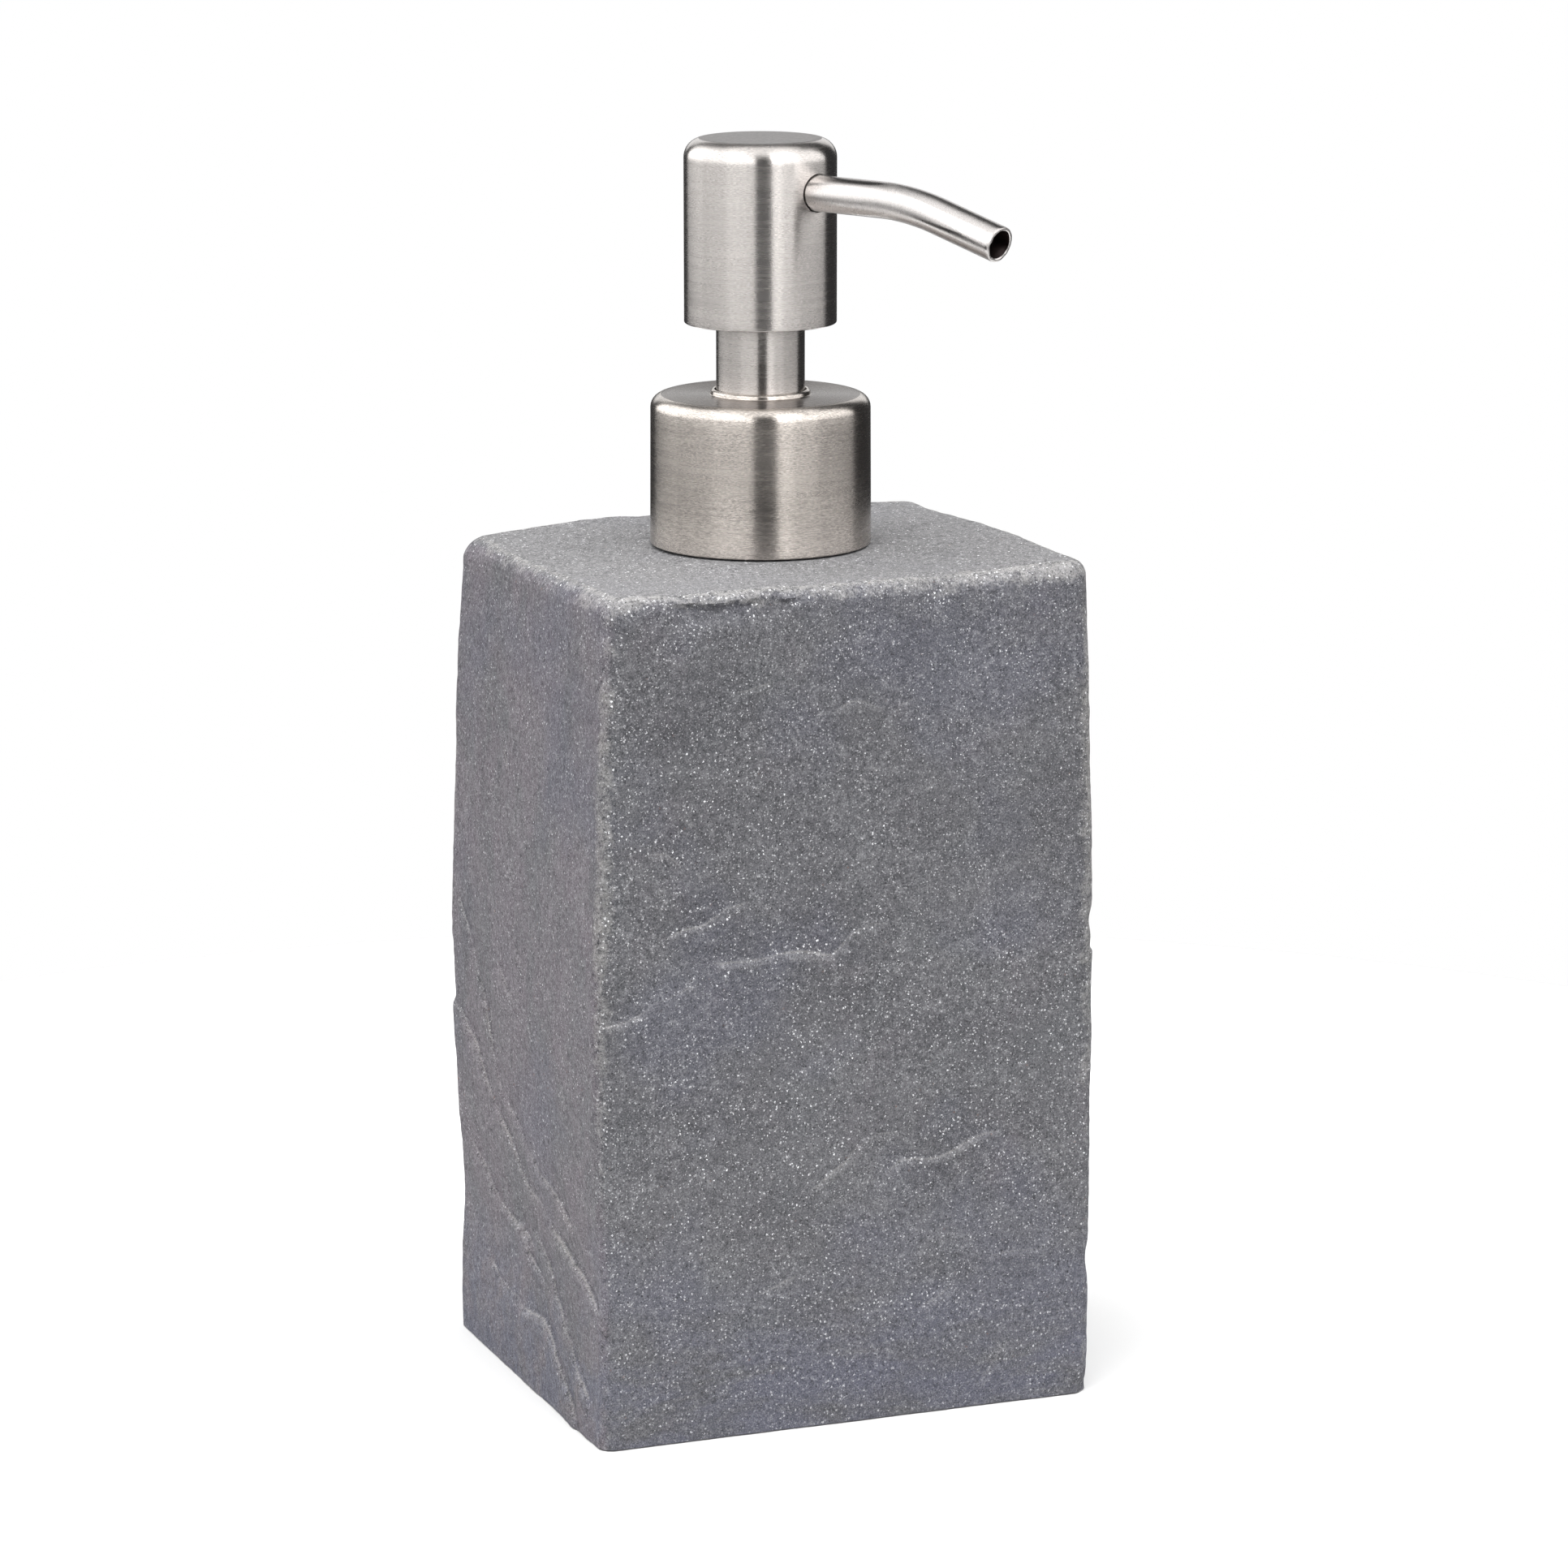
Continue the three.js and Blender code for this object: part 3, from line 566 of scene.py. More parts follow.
# chips along the edges: (x, y, z, radius, depth), with x and y as shares of the half sizes
CHIPS = (
    (-0.62, -1.0, 121.6, 4.0, 0.55),
    (-0.50, -1.0, 121.9, 2.6, 0.45),
    (-0.98, -0.98, 119.5, 3.0, 0.50),
    (0.35, -1.0, 122.2, 3.0, 0.40),
    (1.0, -0.98, 72.0, 2.2, 0.45),
    (1.0, -0.98, 20.5, 3.0, 0.40),
    (1.0, -1.0, 1.0, 1.6, 0.70),
    (-0.2, 1.0, 122.0, 4.5, 0.50),
)


def outline(half_x, half_y, radius, side_x, side_y, corner):
    """Points and outward normals of a rounded rectangle. It starts on the +X side, where the corner
    towards +Y begins, and runs anticlockwise, with set numbers of points a side and corner."""
    points, normals = [], []
    signs = ((1, 1), (-1, 1), (-1, -1), (1, -1))
    centres = [np.array([sx * (half_x - radius), sy * (half_y - radius)]) for sx, sy in signs]
    sides = ((side_x, (0, 1)), (side_y, (-1, 0)), (side_x, (0, -1)), (side_y, (1, 0)))
    for quarter, (count, outwards) in enumerate(sides):
        angles = math.pi / 2 * (quarter + np.arange(corner) / corner)
        arc = on_circle(angles)[:, :2]
        start = centres[quarter] + radius * np.array(outwards)
        end = centres[(quarter + 1) % 4] + radius * np.array(outwards)
        along = np.arange(count)[:, None] / count
        points += [centres[quarter] + radius * arc, start + (end - start) * along]
        normals += [arc, np.tile(outwards, (count, 1))]
    return np.vstack(points), np.vstack(normals)


# ledges on the two faces that are known: height of the step, then points (place, height above the floor).
# Places count from the narrow left face's middle towards the front, and from the front's to the right.
LEFT_LEDGES = (
    (0.20, ((-29, 70), (-22, 63), (-18, 58), (-14.5, 52), (-11, 45), (-9, 42.5))),
    (0.24, ((-10, 42.6), (-2, 39.5), (1.5, 36), (10, 33.5), (20, 29.5))),
    (0.26, ((-33, 52), (-27, 50.5), (-21, 47.5), (-15, 42), (-6, 36), (-1, 31), (6, 29), (10, 27))),
    (0.28, ((8, 27.6), (17, 25.5), (24, 23.5), (31, 19.5))),
    (0.30, ((-27, 31.5), (-20, 28.5), (-15, 25.5), (-10, 24), (-4, 23.5), (0, 22))),
    (0.28, ((2, 24), (7, 21.5), (11, 18.5), (17, 13.5), (21, 10), (28, 5))),
    (0.18, ((-5, 24), (0, 20.5), (7, 17.5), (11, 16.5))),
    (0.28, ((-18, 14.5), (-10, 12), (0, 11.2), (8, 12), (12, 10), (17, 5.5), (22, 2))),
    (0.12, ((-10, 62.5), (-3, 58))),
    (0.12, ((-3, 67), (2, 62.5))),
    (0.12, ((-10, 97), (-6, 90))),
    (0.12, ((15, 53), (21, 47))),
    (0.10, ((22, 43), (27, 39.5))),
    (0.10, ((18, 56), (25, 54))),
)
FRONT_LEDGES = (
    (0.20, ((-37, 63), (-30, 64.5), (-26, 66.5), (-22, 68))),
    (0.12, ((-28, 64.5), (-24, 62))),
    (0.16, ((-27, 75.5), (-21, 77), (-18, 78.5), (-14, 79))),
    (0.20, ((-20, 71), (-14, 71.4), (-8, 72), (-2, 71), (1, 73.3), (4, 74.5), (7, 74))),
    (0.20, ((-6, 35), (-2, 38), (1.5, 41.5), (5, 43), (9, 43.2))),
    (0.22, ((5, 35.5), (9, 38.5), (15, 39.2), (20, 40.5), (24, 42))),
    (0.12, ((-2, 105.8), (0.5, 107), (3.5, 106.8), (6, 105.6))),
    (0.12, ((6, 103.5), (8.5, 106.2), (11, 107))),
    (0.12, ((-13, 21.5), (-7, 23.2))),
    (0.14, ((22, 22.8), (31, 23.2))),
    (0.12, ((21, 4), (24, 8), (26, 9.4))),
    (0.12, ((-18, 109.5), (-11, 111))),
    (0.10, ((-30, 87.5), (-27, 87.3), (-24, 84))),
    (0.10, ((12, 16.5), (16, 19.2))),
)
LEDGE_WIDTH = 0.26  # half width of a step
LEDGE_REACH = 4.5  # how far the rise round a step carries
LEDGE_RISE = 1.8  # height at the step's two sides, as a share of its given height
FAR_FROM_LEDGE = 3.0  # the distance given to points beside no ledge


def mirrored(paths, up):
    """The same ledges, lower, turned left to right and moved up, for a face whose own are not known."""
    lower = 0.7
    return [(lower * tall, [(-along, level + up) for along, level in reversed(path)])
            for tall, path in paths]


def ledges(points, facing, across, paths, seed):
    """Height of a face's ledges, the distance up from the nearest one, and how marked that one is.
    Below a ledge the stone stands out, so its step faces up."""
    height, marked = np.zeros(len(points)), np.zeros(len(points))
    gap = np.full(len(points), FAR_FROM_LEDGE)
    ragged = 0.7 * cloud(points, 7, seed, octaves=3) + 0.15 * cloud(points, 2.4, seed + 2, octaves=2)
    worn = 0.80 + 0.6 * cloud(points, 9, seed + 5, octaves=3)
    for tall, path in paths:
        along, levels = np.array(path, float).T
        middle = np.interp(across, along, levels)
        slope = np.interp(across, (along[1:] + along[:-1]) / 2, np.diff(levels) / np.diff(along))
        over = (points[:, 2] - middle) / np.sqrt(1 + slope**2) + ragged
        ends = np.minimum(across - along[0], along[-1] - across) + 2 * ragged
        inside = facing * smoothstep(-1.0, 2.0, ends) * np.clip(worn, 0.25, 1)
        step = np.tanh(over / LEDGE_WIDTH) * np.exp(-((over / LEDGE_REACH) ** 2))
        height -= inside * LEDGE_RISE * tall * step
        nearer = (np.abs(over) < np.abs(gap)) & (inside > 0.02)
        gap[nearer] = over[nearer]
        marked[nearer] = inside[nearer] * min(1, 0.3 + 2.6 * tall)
    return height, gap, marked


def broken_lip(points, normals):
    """Depth of the shallow break under the front crown, sharp at its upper edge."""
    x, _, z = points.T
    facing = smoothstep(0.15, 0.5, -normals[:, 1])
    ragged = cloud(points, 4, 57, octaves=3)
    along = smoothstep(-27, -22, x + 2 * ragged) * smoothstep(-7, -12, x + 3 * ragged)
    upper_edge = 123.0 + 0.35 * ragged
    below_edge = smoothstep(upper_edge + 0.15, upper_edge - 0.25, z)
    return 0.85 * facing * along * below_edge * smoothstep(118.5, 122.5, z)


def stone_relief(points, normals):
    """Height of the split-stone surface in millimetres, the distance up from the nearest ledge, and how
    marked that ledge is."""
    height = 0.17 * cloud(points, 30, 11) + 0.11 * cloud(points, 11, 23) + 0.06 * cloud(points, 3.5, 31)
    height += 0.035 * cloud(points, 1.3, 41, octaves=2)
    gap, marked = np.full(len(points), FAR_FROM_LEDGE), np.zeros(len(points))
    (x, y, _), (to_right, to_back, _) = points.T, normals.T
    for faces_out, across, paths, seed in (
        (-to_right, -y, LEFT_LEDGES, 33),
        (-to_back, x, FRONT_LEDGES, 37),
        (to_right, -y, mirrored(LEFT_LEDGES, 16), 43),
        (to_back, x, mirrored(FRONT_LEDGES, -10), 47),
    ):
        rise, near, strength = ledges(points, smoothstep(0.6, 0.95, faces_out), across, paths, seed)
        height += rise
        gap = np.where(strength > marked, near, gap)
        marked = np.maximum(marked, strength)
    return height, gap, marked


def chipped(points):
    """Depth of the chips at each point."""
    depth = np.zeros(len(points))
    for share_x, share_y, z, radius, most in CHIPS:
        centre = np.array([share_x * HALF_X, share_y * HALF_Y, z])
        away = np.linalg.norm((points - centre) * [1, 1, 1.25], axis=1) / radius
        depth = np.maximum(depth, most * np.exp(-((away * 1.15) ** 2)))
    return depth * (1 + 0.5 * cloud(points, 2.5, 91, octaves=2))


def unevenness(points):
    """How far the casting strays from a true block: its narrow faces sideways, its top up and down."""
    x, y, z = points.T
    left = smoothstep(4, 20, -x)
    right = smoothstep(4, 20, x)
    low_hollow = np.exp(-(((z - 23) / 13) ** 2))
    mid_swell = np.exp(-(((z - 66) / 17) ** 2))
    foot = smoothstep(26, 4, z)
    shift = np.zeros_like(points)
    shift[:, 0] = left * (0.95 * low_hollow - 0.35 * mid_swell)
    shift[:, 0] += right * (0.38 + 0.27 * foot + 0.50 * smoothstep(96, 120, z))
    near_top = smoothstep(70, STONE_TOP, z)
    dip = smoothstep(10, 31, -x) * smoothstep(-34, 10, y)
    lift = smoothstep(14, 36, x) * (0.9 - 1.4 * smoothstep(-12, 32, y))
    corner_away = np.hypot(x + 37, y - 32)
    corner_fall = 1.1 * np.exp(-((corner_away / 5.0) ** 2)) * smoothstep(STONE_TOP - 9, STONE_TOP, z)
    shift[:, 2] = near_top * (lift - 0.95 * dip) - corner_fall
    return shift


def crown_radii(places):
    """Radius of the edge round the top at places round the block, uneven like a broken edge."""
    crown = CROWN_RADIUS + 0.9 * cloud(np.column_stack([places, np.zeros(len(places))]), 14, 5, octaves=3)
    right_corner = np.hypot(places[:, 0] - HALF_X, places[:, 1] + HALF_Y)
    crown -= 0.4 * np.exp(-((right_corner / 22) ** 2))
    return np.clip(crown, 1.5, TOP_EDGE_RADIUS - 0.2)


def block_skin(counts):
    """Points and normals, ring by ring, up the block's sides, over its crown and in to its mouth."""
    places, _ = outline(HALF_X, HALF_Y, EDGE_RADIUS, *counts)
    crown = crown_radii(places)
    rings, normals = [], []
    rows = round((STONE_TOP - CROWN_RADIUS - STONE_BASE) / GRID)
    for row in range(rows + 1):
        share = row / rows
        level = STONE_BASE + share * (STONE_TOP - CROWN_RADIUS)
        half_x = HALF_X - DRAFT_X * level / STONE_TOP + BELLY_X * math.sin(math.pi * level / STONE_TOP)
        edge_radius = EDGE_RADIUS + (TOP_EDGE_RADIUS - EDGE_RADIUS) * smoothstep(0.86, 1.0, share)
        flat, flat_normal = outline(half_x, HALF_Y + SPREAD_Y * share, edge_radius, *counts)
        z = STONE_BASE + share * (STONE_TOP - crown - STONE_BASE)
        rings.append(np.column_stack([flat + CASTING_SHIFT, z]))
        normals.append(np.column_stack([flat_normal, np.zeros(len(flat))]))
    shoulder, outwards = rings[-1], normals[-1]
    for row in range(1, CROWN_ROWS + 1):
        lean = math.pi / 2 * row / CROWN_ROWS
        ring = shoulder - outwards * (crown * (1 - math.cos(lean)))[:, None]
        ring[:, 2] = STONE_TOP - crown * (1 - math.sin(lean))
        rings.append(ring)
        normals.append(outwards * math.cos(lean) + np.array([0, 0, math.sin(lean)]))
    rim = rings[-1]
    bore = on_circle(np.arctan2(rim[:, 1], rim[:, 0]))[:, :2]
    for row in range(1, TOP_ROWS + 1):
        t = row / TOP_ROWS
        ring = rim.copy()
        ring[:, :2] = (1 - t) * rim[:, :2] + t * BORE_RADIUS * bore
        rings.append(ring)
        normals.append(np.tile([0.0, 0.0, 1.0], (len(rim), 1)))
    return np.vstack(rings), np.vstack(normals), bore


def level_ring(half_x, half_y, radius, z, counts):
    """A rounded rectangle of points at one height."""
    flat, _ = outline(half_x, half_y, radius, *counts)
    return np.column_stack([flat, np.full(len(flat), z)])


def block_inside(bore, counts):
    """Points down the bore, past the rib's groove and over the hollow's walls to its floor."""
    ceiling = box_mm("neck_insert")[0][2] + 1.5  # the neck hangs this far into the hollow
    bore_steps = (
        (BORE_RADIUS, STONE_TOP - 0.5), (BORE_RADIUS, GROOVE_HIGH), (GROOVE_RADIUS, GROOVE_HIGH),
        (GROOVE_RADIUS, GROOVE_LOW), (BORE_RADIUS, GROOVE_LOW), (BORE_RADIUS, ceiling),
    )
    rings = [np.column_stack([radius * bore, np.full(len(bore), z)]) for radius, z in bore_steps]
    leans = [math.pi / 2 * k / 6 for k in range(7)]
    for flat_height, inwards, order in ((ceiling, -1, leans), (CAVITY_FLOOR, 1, reversed(leans))):
        for lean in order:
            inset = CAVITY_CROWN * (1 - math.sin(lean))
            z = flat_height + inwards * CAVITY_CROWN * (1 - math.cos(lean))
            half_x, half_y, corner = CAVITY_X - inset, CAVITY_Y - inset, CAVITY_CORNER - inset * 0.7
            rings.append(level_ring(half_x, half_y, corner, z, counts))
    return np.vstack(rings)


def block_marks(skin, normals, gap, marked):
    """Values the stone's material reads at each point of the skin: wear, ledges and which way it faces."""
    on_top = normals[:, 2] > 0.99
    to_sides = [HALF_X, HALF_Y] - np.abs(skin[:, :2] - CASTING_SHIFT)
    far_away = 99.0
    beside = np.where(on_top, far_away, np.hypot(*to_sides.T))
    below = np.where(on_top, to_sides.min(axis=1), STONE_TOP - skin[:, 2])
    ragged = cloud(skin, 5, 77, octaves=5)
    high_up = smoothstep(20, 115, skin[:, 2])
    edge_wear = (0.34 + 0.62 * high_up) * (1 - smoothstep(0.4, 1.3 + 2.4 * high_up, beside + 0.8 * ragged))
    crown_wear = 0.70 * (1 - smoothstep(0.6, 3.0, below + 1.5 * ragged))
    return {
        "wear": np.maximum(edge_wear, crown_wear), "ledge_gap": gap, "ledge": marked,
        "mauve": smoothstep(0.5, 0.9, -normals[:, 0]), "upward": smoothstep(0.75, 0.98, normals[:, 2]),
    }


def stone_block():
    side_x, side_y = (round(2 * (half - EDGE_RADIUS) / GRID) for half in (HALF_X, HALF_Y))
    counts = (side_x, side_y, CORNER_COLUMNS)
    columns = 2 * (side_x + side_y) + 4 * CORNER_COLUMNS
    skin, normals, bore = block_skin(counts)
    height, gap, marked = stone_relief(skin, normals)
    height -= chipped(skin) + broken_lip(skin, normals)
    from_axis = np.linalg.norm(skin[:, :2], axis=1)
    on_top = normals[:, 2] > 0.99
    height[on_top] *= smoothstep(15, 20, from_axis[on_top])
    height[on_top] += MOUTH_RISE * smoothstep(25, 15, from_axis[on_top])
    push = normals.copy()
    push[skin[:, 2] < STONE_BASE + 0.01, 2] = 0
    skin = skin + push * height[:, None] + unevenness(skin)

    _, pad_high = box_mm("base_pad")
    recess = pad_high[0] + PAD_ROOM, pad_high[1] + PAD_ROOM, PAD_CORNER + PAD_ROOM
    recess_top = pad_high[2] + PAD_ROOM
    under = [level_ring(*recess, recess_top, counts), level_ring(*recess, STONE_BASE, counts)]
    vertices = np.vstack([*under, skin, block_inside(bore, counts)])
    faces = fanned_faces(len(vertices) // columns, columns)
    vertices = np.vstack([vertices, [0, 0, recess_top], [0, 0, CAVITY_FLOOR]])
    piece = make_object("stone_block", vertices, faces, sharp_angle=SOFT_EDGE)

    skin_start = len(under) * columns
    for name, values in block_marks(skin, normals, gap, marked).items():
        layer = piece.data.attributes.new(name, "FLOAT", "POINT")
        full = np.zeros(len(vertices))
        full[skin_start:skin_start + len(values)] = values
        layer.data.foreach_set("value", full.astype(np.float32))
    return piece


def base_foam():
    (_, _, bottom), (half_x, half_y, top) = box_mm("base_pad")
    counts = (70, 58, 16)
    round_over, cut_over = 0.25, 0.07  # the edge's rounding, and its middle's distance from the corner
    rings = []
    for inset, z in ((round_over, bottom), (cut_over, bottom + cut_over), (0, bottom + round_over),
                     (0, top - round_over), (cut_over, top - cut_over), (round_over, top)):
        rings.append(level_ring(half_x - inset, half_y - inset, PAD_CORNER - inset, z, counts))
    return make_object("foam_pad", np.vstack(rings), capped_faces(len(rings), len(rings[0])))


THREAD_PITCH = 25.4 / 6
THREAD_START = 127.6
THREAD_TURNS = 1.2
THREAD_ROOT, THREAD_CREST = 2.2, 1.1  # widths of the ridge


def thread_height(vertices):
    """Share of the thread's full height at each vertex, for a helix about the Z axis."""
    x, y, z = vertices.T
    turn = (np.arctan2(y, x) / (2 * math.pi)) % 1.0
    best = np.zeros(len(vertices))
    for whole in range(-1, 4):
        along = turn + whole
        inside = (along >= 0) & (along <= THREAD_TURNS)
        away = np.abs(z - THREAD_START - along * THREAD_PITCH)
        ridge = np.clip((THREAD_ROOT / 2 - away) / ((THREAD_ROOT - THREAD_CREST) / 2), 0, 1)
        ends = smoothstep(0, 0.09, np.minimum(along, THREAD_TURNS - along))
        best = np.maximum(best, np.where(inside, ridge * ends, 0))
    return best


def threaded_neck():
    low, high = box_mm("neck_insert")
    shoulder = STONE_TOP + MOUTH_RISE + 0.08
    root, crest, bore, buried, rib = 12.6, 13.75, 10.3, 12.2, high[0]
    profile = filleted([
        (buried, low[2], 0.3), (buried, 115, 0.2), (rib, 115, 0.3), (rib, 118, 0.3), (buried, 118, 0.2),
        (buried, shoulder, 0.2), (13.3, shoulder, 0.15), (13.3, shoulder + 1.0, 0.25),
        (root, shoulder + 1.3, 0.2), (root, high[2], 0.4), (bore, high[2], 0.4), (bore, low[2], 0.3),
    ])
    fine = subdivided(profile, 0.16)

    def with_thread(vertices):
        radius = np.hypot(vertices[:, 0], vertices[:, 1])
        share = np.where(np.abs(radius - root) > 0.02, 0, thread_height(vertices))
        grown = 1 + share * (crest - root) / root
        return vertices * np.column_stack([grown, grown, np.ones(len(grown))])

    return turned("threaded_neck", fine, move=with_thread)


# ---- steel pieces ----

SHEET = 0.6  # thickness of the drawn covers
COLLAR_LOW, COLLAR_HIGH = box_mm("collar_shell")
COLLAR_TOP = COLLAR_HIGH[2] - 0.75  # the flat round the bead


def collar_cover():
    radius, bottom, top, lip_top = COLLAR_HIGH[0], COLLAR_LOW[2], COLLAR_TOP, COLLAR_HIGH[2]
    lip = 6.7
    profile = filleted([
        (radius, bottom, 0.22), (radius - 0.12, top, 1.9), (7.8, top, 0.3), (7.32, top + 0.02, 0.14),
        (7.26, top + 0.52, 0.34), (6.98, lip_top, 0.28), (lip, lip_top, 0.22), (lip, top - 0.3, 0.3),
        (8.0, top - SHEET, 0.2), (radius - SHEET, top - SHEET, 1.35), (radius - SHEET, bottom, 0.22),
    ], steps=8)
    return turned("collar_cover", subdivided(profile, 1.2))


def neck_sleeve():
    low, high = box_mm("stem_sleeve")
    radius, wall = high[0], 0.4
    profile = filleted([
        (radius, low[2], 0.12), (radius, high[2], 0.12),
        (radius - wall, high[2], 0.12), (radius - wall, low[2], 0.12),
    ])
    return turned("neck_sleeve", subdivided(profile, 1.5))


HEAD_LOW, HEAD_HIGH = box_mm("head_shell")
HEAD_RADIUS = HEAD_HIGH[0]
HEAD_SHOULDER = 2.8
SPOUT_ANGLE = math.radians(27.5 - 90)
SPOUT_OUT = np.array([math.cos(SPOUT_ANGLE), math.sin(SPOUT_ANGLE), 0])
SPOUT_HEIGHT = 176.9
SPOUT_HOLE = 2.82  # radius of the hole in the head's cover


def head_cover():
    bottom, top, radius = HEAD_LOW[2], HEAD_HIGH[2], HEAD_RADIUS
    profile = filleted([
        (0, top - SHEET), (radius - SHEET, top - SHEET, HEAD_SHOULDER - SHEET), (radius - SHEET, bottom, 0.2),
        (radius, bottom, 0.22), (radius, top, HEAD_SHOULDER), (0, top),
    ], steps=14)

    def dimpled(vertices):
        """The sheet is drawn in a little round the spout's hole."""
        hole = SPOUT_OUT * radius + [0, 0, SPOUT_HEIGHT]
        away = np.linalg.norm(vertices - hole, axis=1)
        sink = 0.13 * np.exp(-((away / 3.3) ** 2))
        return vertices - SPOUT_OUT * sink[:, None]

    piece = turned("head_cover", subdivided(profile, 0.45), move=dimpled)
    cut(piece, side_rod(SPOUT_HOLE, radius - 5, radius + 5, SPOUT_HEIGHT, SPOUT_OUT))
    return piece


def spout_path():
    """Points and directions along the spout's centre line, in its own upright plane."""
    root, straight_to, bend_radius, bend, tip = 4.6, 22.5, 41, math.radians(15.6), 11.6
    lengths = np.concatenate([
        np.linspace(root, straight_to, 34)[:-1] - straight_to,
        np.linspace(0, bend_radius * bend, 40)[:-1],
        bend_radius * bend + np.linspace(0, tip, 26),
    ])
    points, directions = [], []
    for s in lengths:
        angle = np.clip(s / bend_radius, 0, bend)
        rest = s - angle * bend_radius
        reach = straight_to + bend_radius * math.sin(angle) + rest * math.cos(angle)
        drop = bend_radius * (1 - math.cos(angle)) + rest * math.sin(angle)
        points.append(SPOUT_OUT * reach + [0, 0, SPOUT_HEIGHT - drop])
        directions.append(SPOUT_OUT * math.cos(angle) - np.array([0, 0, math.sin(angle)]))
    return np.array(points), np.array(directions)


def spout():
    points, directions = spout_path()
    outer, bore = 2.62, 2.12
    columns = 72
    angles = circle_angles(columns)
    side = np.cross([0, 0, 1], SPOUT_OUT)

    def ring(index, radius, forward=0.0):
        up = np.cross(directions[index], side)
        offset = np.cos(angles)[:, None] * side + np.sin(angles)[:, None] * up
        radius, forward = (np.broadcast_to(value, columns)[:, None] for value in (radius, forward))
        return points[index] + radius * offset + forward * directions[index]

    burr = lattice_noise(on_circle(angles) * 3.1, 3)
    last = len(points) - 1
    rings = [ring(i, outer) for i in range(last)]
    sawn_end = (
        (outer - 0.02, -0.16), (outer - 0.07, -0.05 + 0.03 * burr), (outer - 0.17, 0.05 * burr),
        (bore + 0.10, 0.06 * burr), (bore - 0.03 - 0.05 * burr, -0.08), (bore, -0.22),
    )
    rings += [ring(last, radius, forward) for radius, forward in sawn_end]
    rings += [ring(i, bore) for i in range(last - 1, -1, -1)]
    piece = make_object("spout", np.vstack(rings), ring_faces(len(rings), columns, closed=True))
    first_bore_row = last + len(sawn_end) - 1
    # the bore's faces take the second material, darkened as painted shade
    for face in piece.data.polygons[first_bore_row * columns:]:
        face.material_index = 1
    return piece


SPRING_LOW, SPRING_HIGH = box_mm("return_spring")


def return_coil():
    """The return spring, wound from round wire with one closed turn at each end."""
    wire, turns, end_pitch, columns, steps = 0.42, 8, 1.0, 16, 48
    radius, bottom, top = SPRING_HIGH[0] - wire, SPRING_LOW[2] + wire, SPRING_HIGH[2] - wire
    open_pitch = (top - bottom - 2 * end_pitch) / (turns - 2)
    turn = np.linspace(0, turns, turns * steps + 1)
    closed = np.minimum(turn, 1) + np.maximum(turn - (turns - 1), 0)
    height = bottom + closed * end_pitch + (turn - closed) * open_pitch
    out = on_circle(2 * math.pi * turn)
    middle = radius * out
    middle[:, 2] = height
    up = np.cross(np.gradient(middle, axis=0), out)
    up /= np.linalg.norm(up, axis=1)[:, None]
    round_wire = circle_angles(columns)
    section = np.cos(round_wire)[:, None, None] * out + np.sin(round_wire)[:, None, None] * up
    vertices = (middle + wire * section).transpose(1, 0, 2).reshape(-1, 3)
    return make_object("return_coil", vertices, capped_faces(len(turn), columns), sharp_angle=SOFT_EDGE)


# ---- stage ----

CAMERA_AZIMUTH = math.radians(-21.28)
CAMERA_ELEVATION = math.radians(12.44)
CAMERA_DISTANCE = 0.869
CAMERA_LENS = 135.1
LOOK_AT = Vector((0.00303, -0.00165, 0.08870))

# the side lights: name, from and to azimuth in degrees from the camera's, distance and radiance
SIDE_PANELS = (
    ("left_panel", -140, -7, 0.70, 1.55),
    ("left_inner", -52, -7, 0.72, 0.36),
    ("left_outer", -140, -96, 0.72, 0.35),
    ("right_panel", 18, 113, 0.70, 1.35),
    ("right_inner", 18, 62, 0.72, 0.50),
    ("right_edge", 17, 34, 0.74, 0.75),
)
SIDE_LOW, SIDE_HIGH = 0.13, 1.25  # heights of their edges
BACK_LOW, BACK_HIGH = 0.24, 0.66
TOP_RADIANCE = 5.5  # what the overhead light gives matt surfaces
TOP_IN_STEEL = 1.15  # how bright it looks mirrored in steel
BACK_RADIANCE = 0.75
FILL_RADIANCE = 0.04
FLOOR_PAPER = (0.54, 0.54, 0.54)
FLOOR_RADIUS = 270  # in millimetres; beyond it steel sees the dark studio


def facing(azimuth, elevation):
    """Unit vector from the object towards that azimuth and elevation."""
    flat = math.cos(elevation)
    return Vector((math.sin(azimuth) * flat, -math.cos(azimuth) * flat, math.sin(elevation)))


def add_camera():
    camera = add_to_scene("camera", bpy.data.cameras.new("camera"))
    camera.data.lens = CAMERA_LENS
    camera.data.sensor_width = 36
    camera.data.clip_start = 0.01
    towards = facing(CAMERA_AZIMUTH, CAMERA_ELEVATION)
    camera.location = LOOK_AT + towards * CAMERA_DISTANCE
    camera.rotation_euler = towards.to_track_quat("Z", "Y").to_euler()
    bpy.context.scene.camera = camera


def add_floor():
    """A round pale table, bright enough to run into the white background."""
    columns = 96
    rim = on_circle(circle_angles(columns)) * FLOOR_RADIUS
    floor = make_object("floor", rim, [tuple(range(columns))])
    look = Look("floor_paper", Roughness=0.95, Specular_IOR_Level=0.0)
    mottle = look.noise(60, detail=2)
    look.set(Base_Color=look.mix(mottle, shaded(FLOOR_PAPER, 1), shaded(FLOOR_PAPER, 1.03)))
    floor.data.materials.append(look.material)


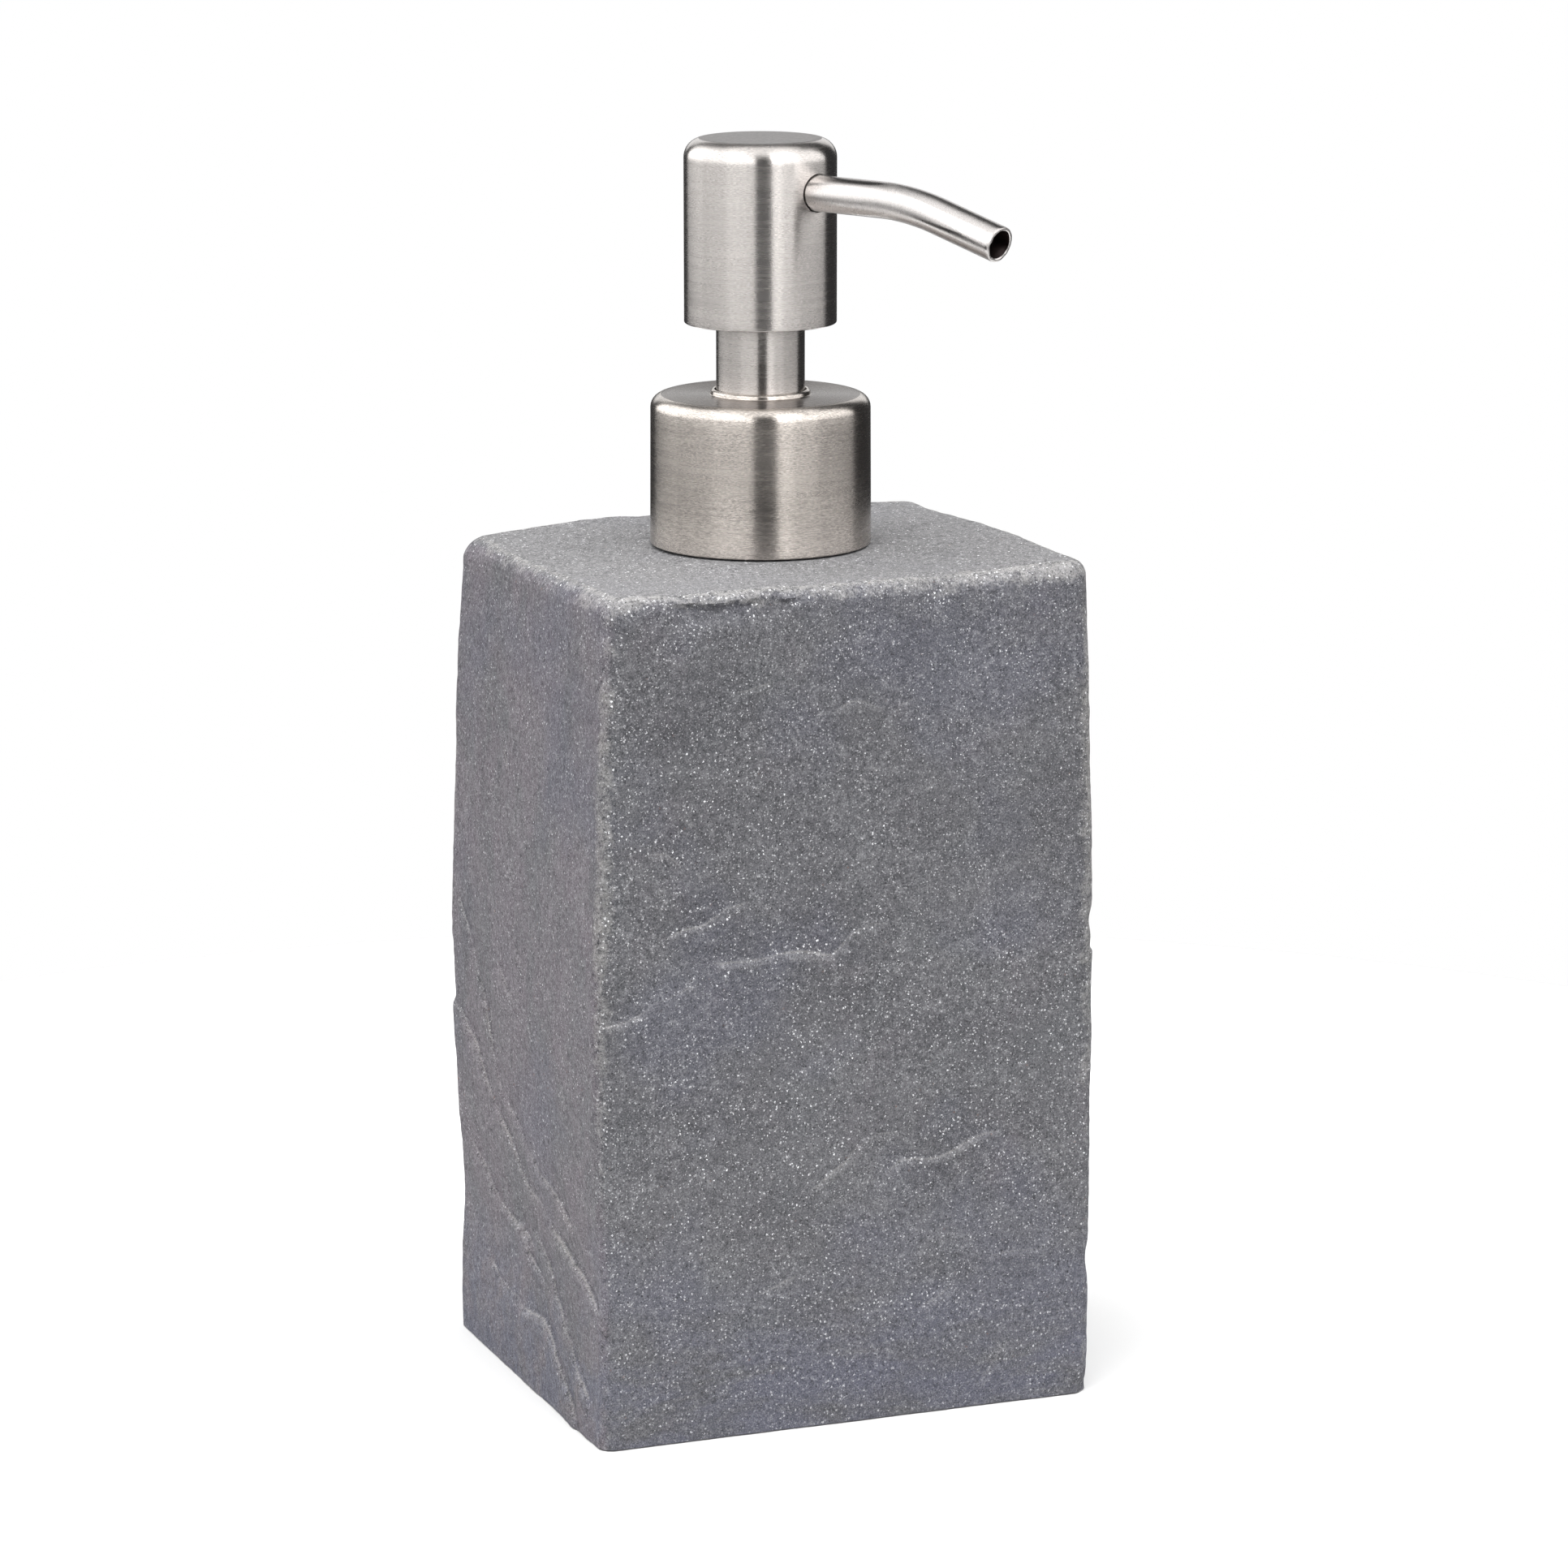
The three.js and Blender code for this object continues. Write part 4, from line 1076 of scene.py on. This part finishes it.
def add_softbox(name, towards, distance, width, height, radiance, above=0.0):
    """A rectangular light facing the object from a direction, with its middle lifted by above."""
    light = bpy.data.lights.new(name, "AREA")
    light.shape = "RECTANGLE"
    light.size = width
    light.size_y = height
    light.energy = 4 * radiance * width * height  # the power that gives this radiance
    lamp = add_to_scene(name, light)
    lamp.location = towards * distance + Vector((0, 0, above))
    lamp.rotation_euler = towards.to_track_quat("Z", "Y").to_euler()
    lamp.visible_camera = False
    return lamp


def add_panel(name, from_azimuth, to_azimuth, distance, low, high, radiance):
    """An upright light between two azimuths seen from the pump, measured from the camera's."""
    middle = math.radians((from_azimuth + to_azimuth) / 2) + CAMERA_AZIMUTH
    spread = math.radians((to_azimuth - from_azimuth) / 2)
    width = 2 * distance * math.tan(spread)
    return add_softbox(name, facing(middle, 0), distance, width, high - low, radiance, (low + high) / 2)


def add_lights():
    for name, from_azimuth, to_azimuth, distance, radiance in SIDE_PANELS:
        add_panel(name, from_azimuth, to_azimuth, distance, SIDE_LOW, SIDE_HIGH, radiance)
    add_panel("back_panel", 155, 205, 0.90, BACK_LOW, BACK_HIGH, BACK_RADIANCE)
    overhead = facing(CAMERA_AZIMUTH, math.radians(80))
    add_softbox("overhead_bright", overhead, 1.25, 1.5, 1.3, TOP_IN_STEEL)
    matt_only = add_softbox("overhead_matt", overhead, 1.26, 1.5, 1.3, TOP_RADIANCE - TOP_IN_STEEL)
    matt_only.visible_glossy = False
    add_world()


def add_world():
    """White behind everything, but only a faint cool fill where it lights the scene."""
    world = bpy.data.worlds.new("studio")
    studio = Shading(world)
    fill = studio.node("Background", {"Color": (0.98, 0.98, 1, 1), "Strength": FILL_RADIANCE})
    seen = studio.node("Background", {"Color": (1, 1, 1, 1)})
    directly = studio.node("LightPath", {}).outputs["Is Camera Ray"]
    either = studio.node("MixShader", {0: directly, 1: fill.outputs[0], 2: seen.outputs[0]})
    studio.node("OutputWorld", {"Surface": either.outputs[0]})
    bpy.context.scene.world = world
    bpy.context.scene.view_settings.view_transform = "Standard"


# ---- the scene ----


def fit_out(piece, body, slot, materials, *nodes):
    for material in materials:
        piece.data.materials.append(material)
    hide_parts(*nodes)
    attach(piece, body)


def use_flat_steel(piece, height):
    """Gives the faces of a flat top at that height the second material, the darker copy of the steel that
    paints shade on the top.
    """
    for face in piece.data.polygons:
        if abs(face.center.z / MM - height) < 0.05 and face.normal.z > 0.98:
            face.material_index = 1


def main():
    add_camera()
    add_floor()
    add_lights()

    stone = stone_look()
    foam = foam_look()
    steel = brushed_steel("brushed_steel", round_streaks, contrast=1.15)
    warm_steel = brushed_steel("brushed_steel_collar", round_streaks, base=(0.602, 0.552, 0.508),
                               contrast=2.1)
    # the flat tops get darker copies of the same brushed steel, keeping less light at a low angle: painted
    # shade
    steel_top = brushed_steel("brushed_steel_top_painted_shade", straight_streaks(38), rough=0.34, fan="X",
                              base=(0.300, 0.281, 0.274), contrast=1.2, fineness=0.18, glance=0.82)
    collar_top = brushed_steel("brushed_steel_collar_top_painted_shade", round_streaks, base=(0.300, 0.273, 0.257),
                               contrast=1.6, glance=0.77)
    along_spout = straight_streaks(math.degrees(SPOUT_ANGLE))
    steel_tube = brushed_steel("drawn_steel_tube", along_spout, rough=0.29,
                               base=(0.655, 0.625, 0.608), contrast=1.7)
    # the bore's steel is made dark: painted shade inside the tube
    steel_bore = brushed_steel("steel_bore_painted_shade", along_spout, rough=0.5,
                               base=(0.150, 0.118, 0.115), contrast=0.6)
    white = plastic_look("white_plastic", (0.78, 0.78, 0.75), 0.35)
    natural = plastic_look("natural_plastic", (0.74, 0.76, 0.74), 0.3, Transmission_Weight=0.35)
    bright = plastic_look("bright_steel", (0.6, 0.6, 0.6), 0.2, Metallic=1.0)

    fit_out(stone_block(), "bottle", "stone", [stone], "stone_body")
    fit_out(base_foam(), "bottle", "foam", [foam], "base_pad")
    fit_out(threaded_neck(), "bottle", "white_plastic", [white], "neck_insert")
    collar = collar_cover()
    fit_out(collar, "collar", "steel", [warm_steel, collar_top], "collar_shell")
    use_flat_steel(collar, COLLAR_TOP)
    fit_out(neck_sleeve(), "head", "steel", [steel], "stem_sleeve")
    cover = head_cover()
    fit_out(cover, "head", "steel", [steel, steel_top], "head_shell")
    use_flat_steel(cover, HEAD_HIGH[2])
    fit_out(spout(), "head", "steel", [steel_tube, steel_bore], "spout_tube")

    coil = return_coil()
    fit_out(coil, "pump_engine", "spring_steel", [bright], "return_spring")
    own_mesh(coil)

    for material, nodes in (
        (white, ("closure_ring", "housing_cap", "guide_bush", "piston_rod", "pump_stem", "head_core")),
        (natural, ("pump_housing", "dip_tube", "piston_seal")),
        (bright, ("inlet_ball", "outlet_ball")),
        (foam, ("neck_gasket",)),
    ):
        for node in nodes:
            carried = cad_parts[node].data
            carried.materials.clear()
            carried.materials.append(material)


main()
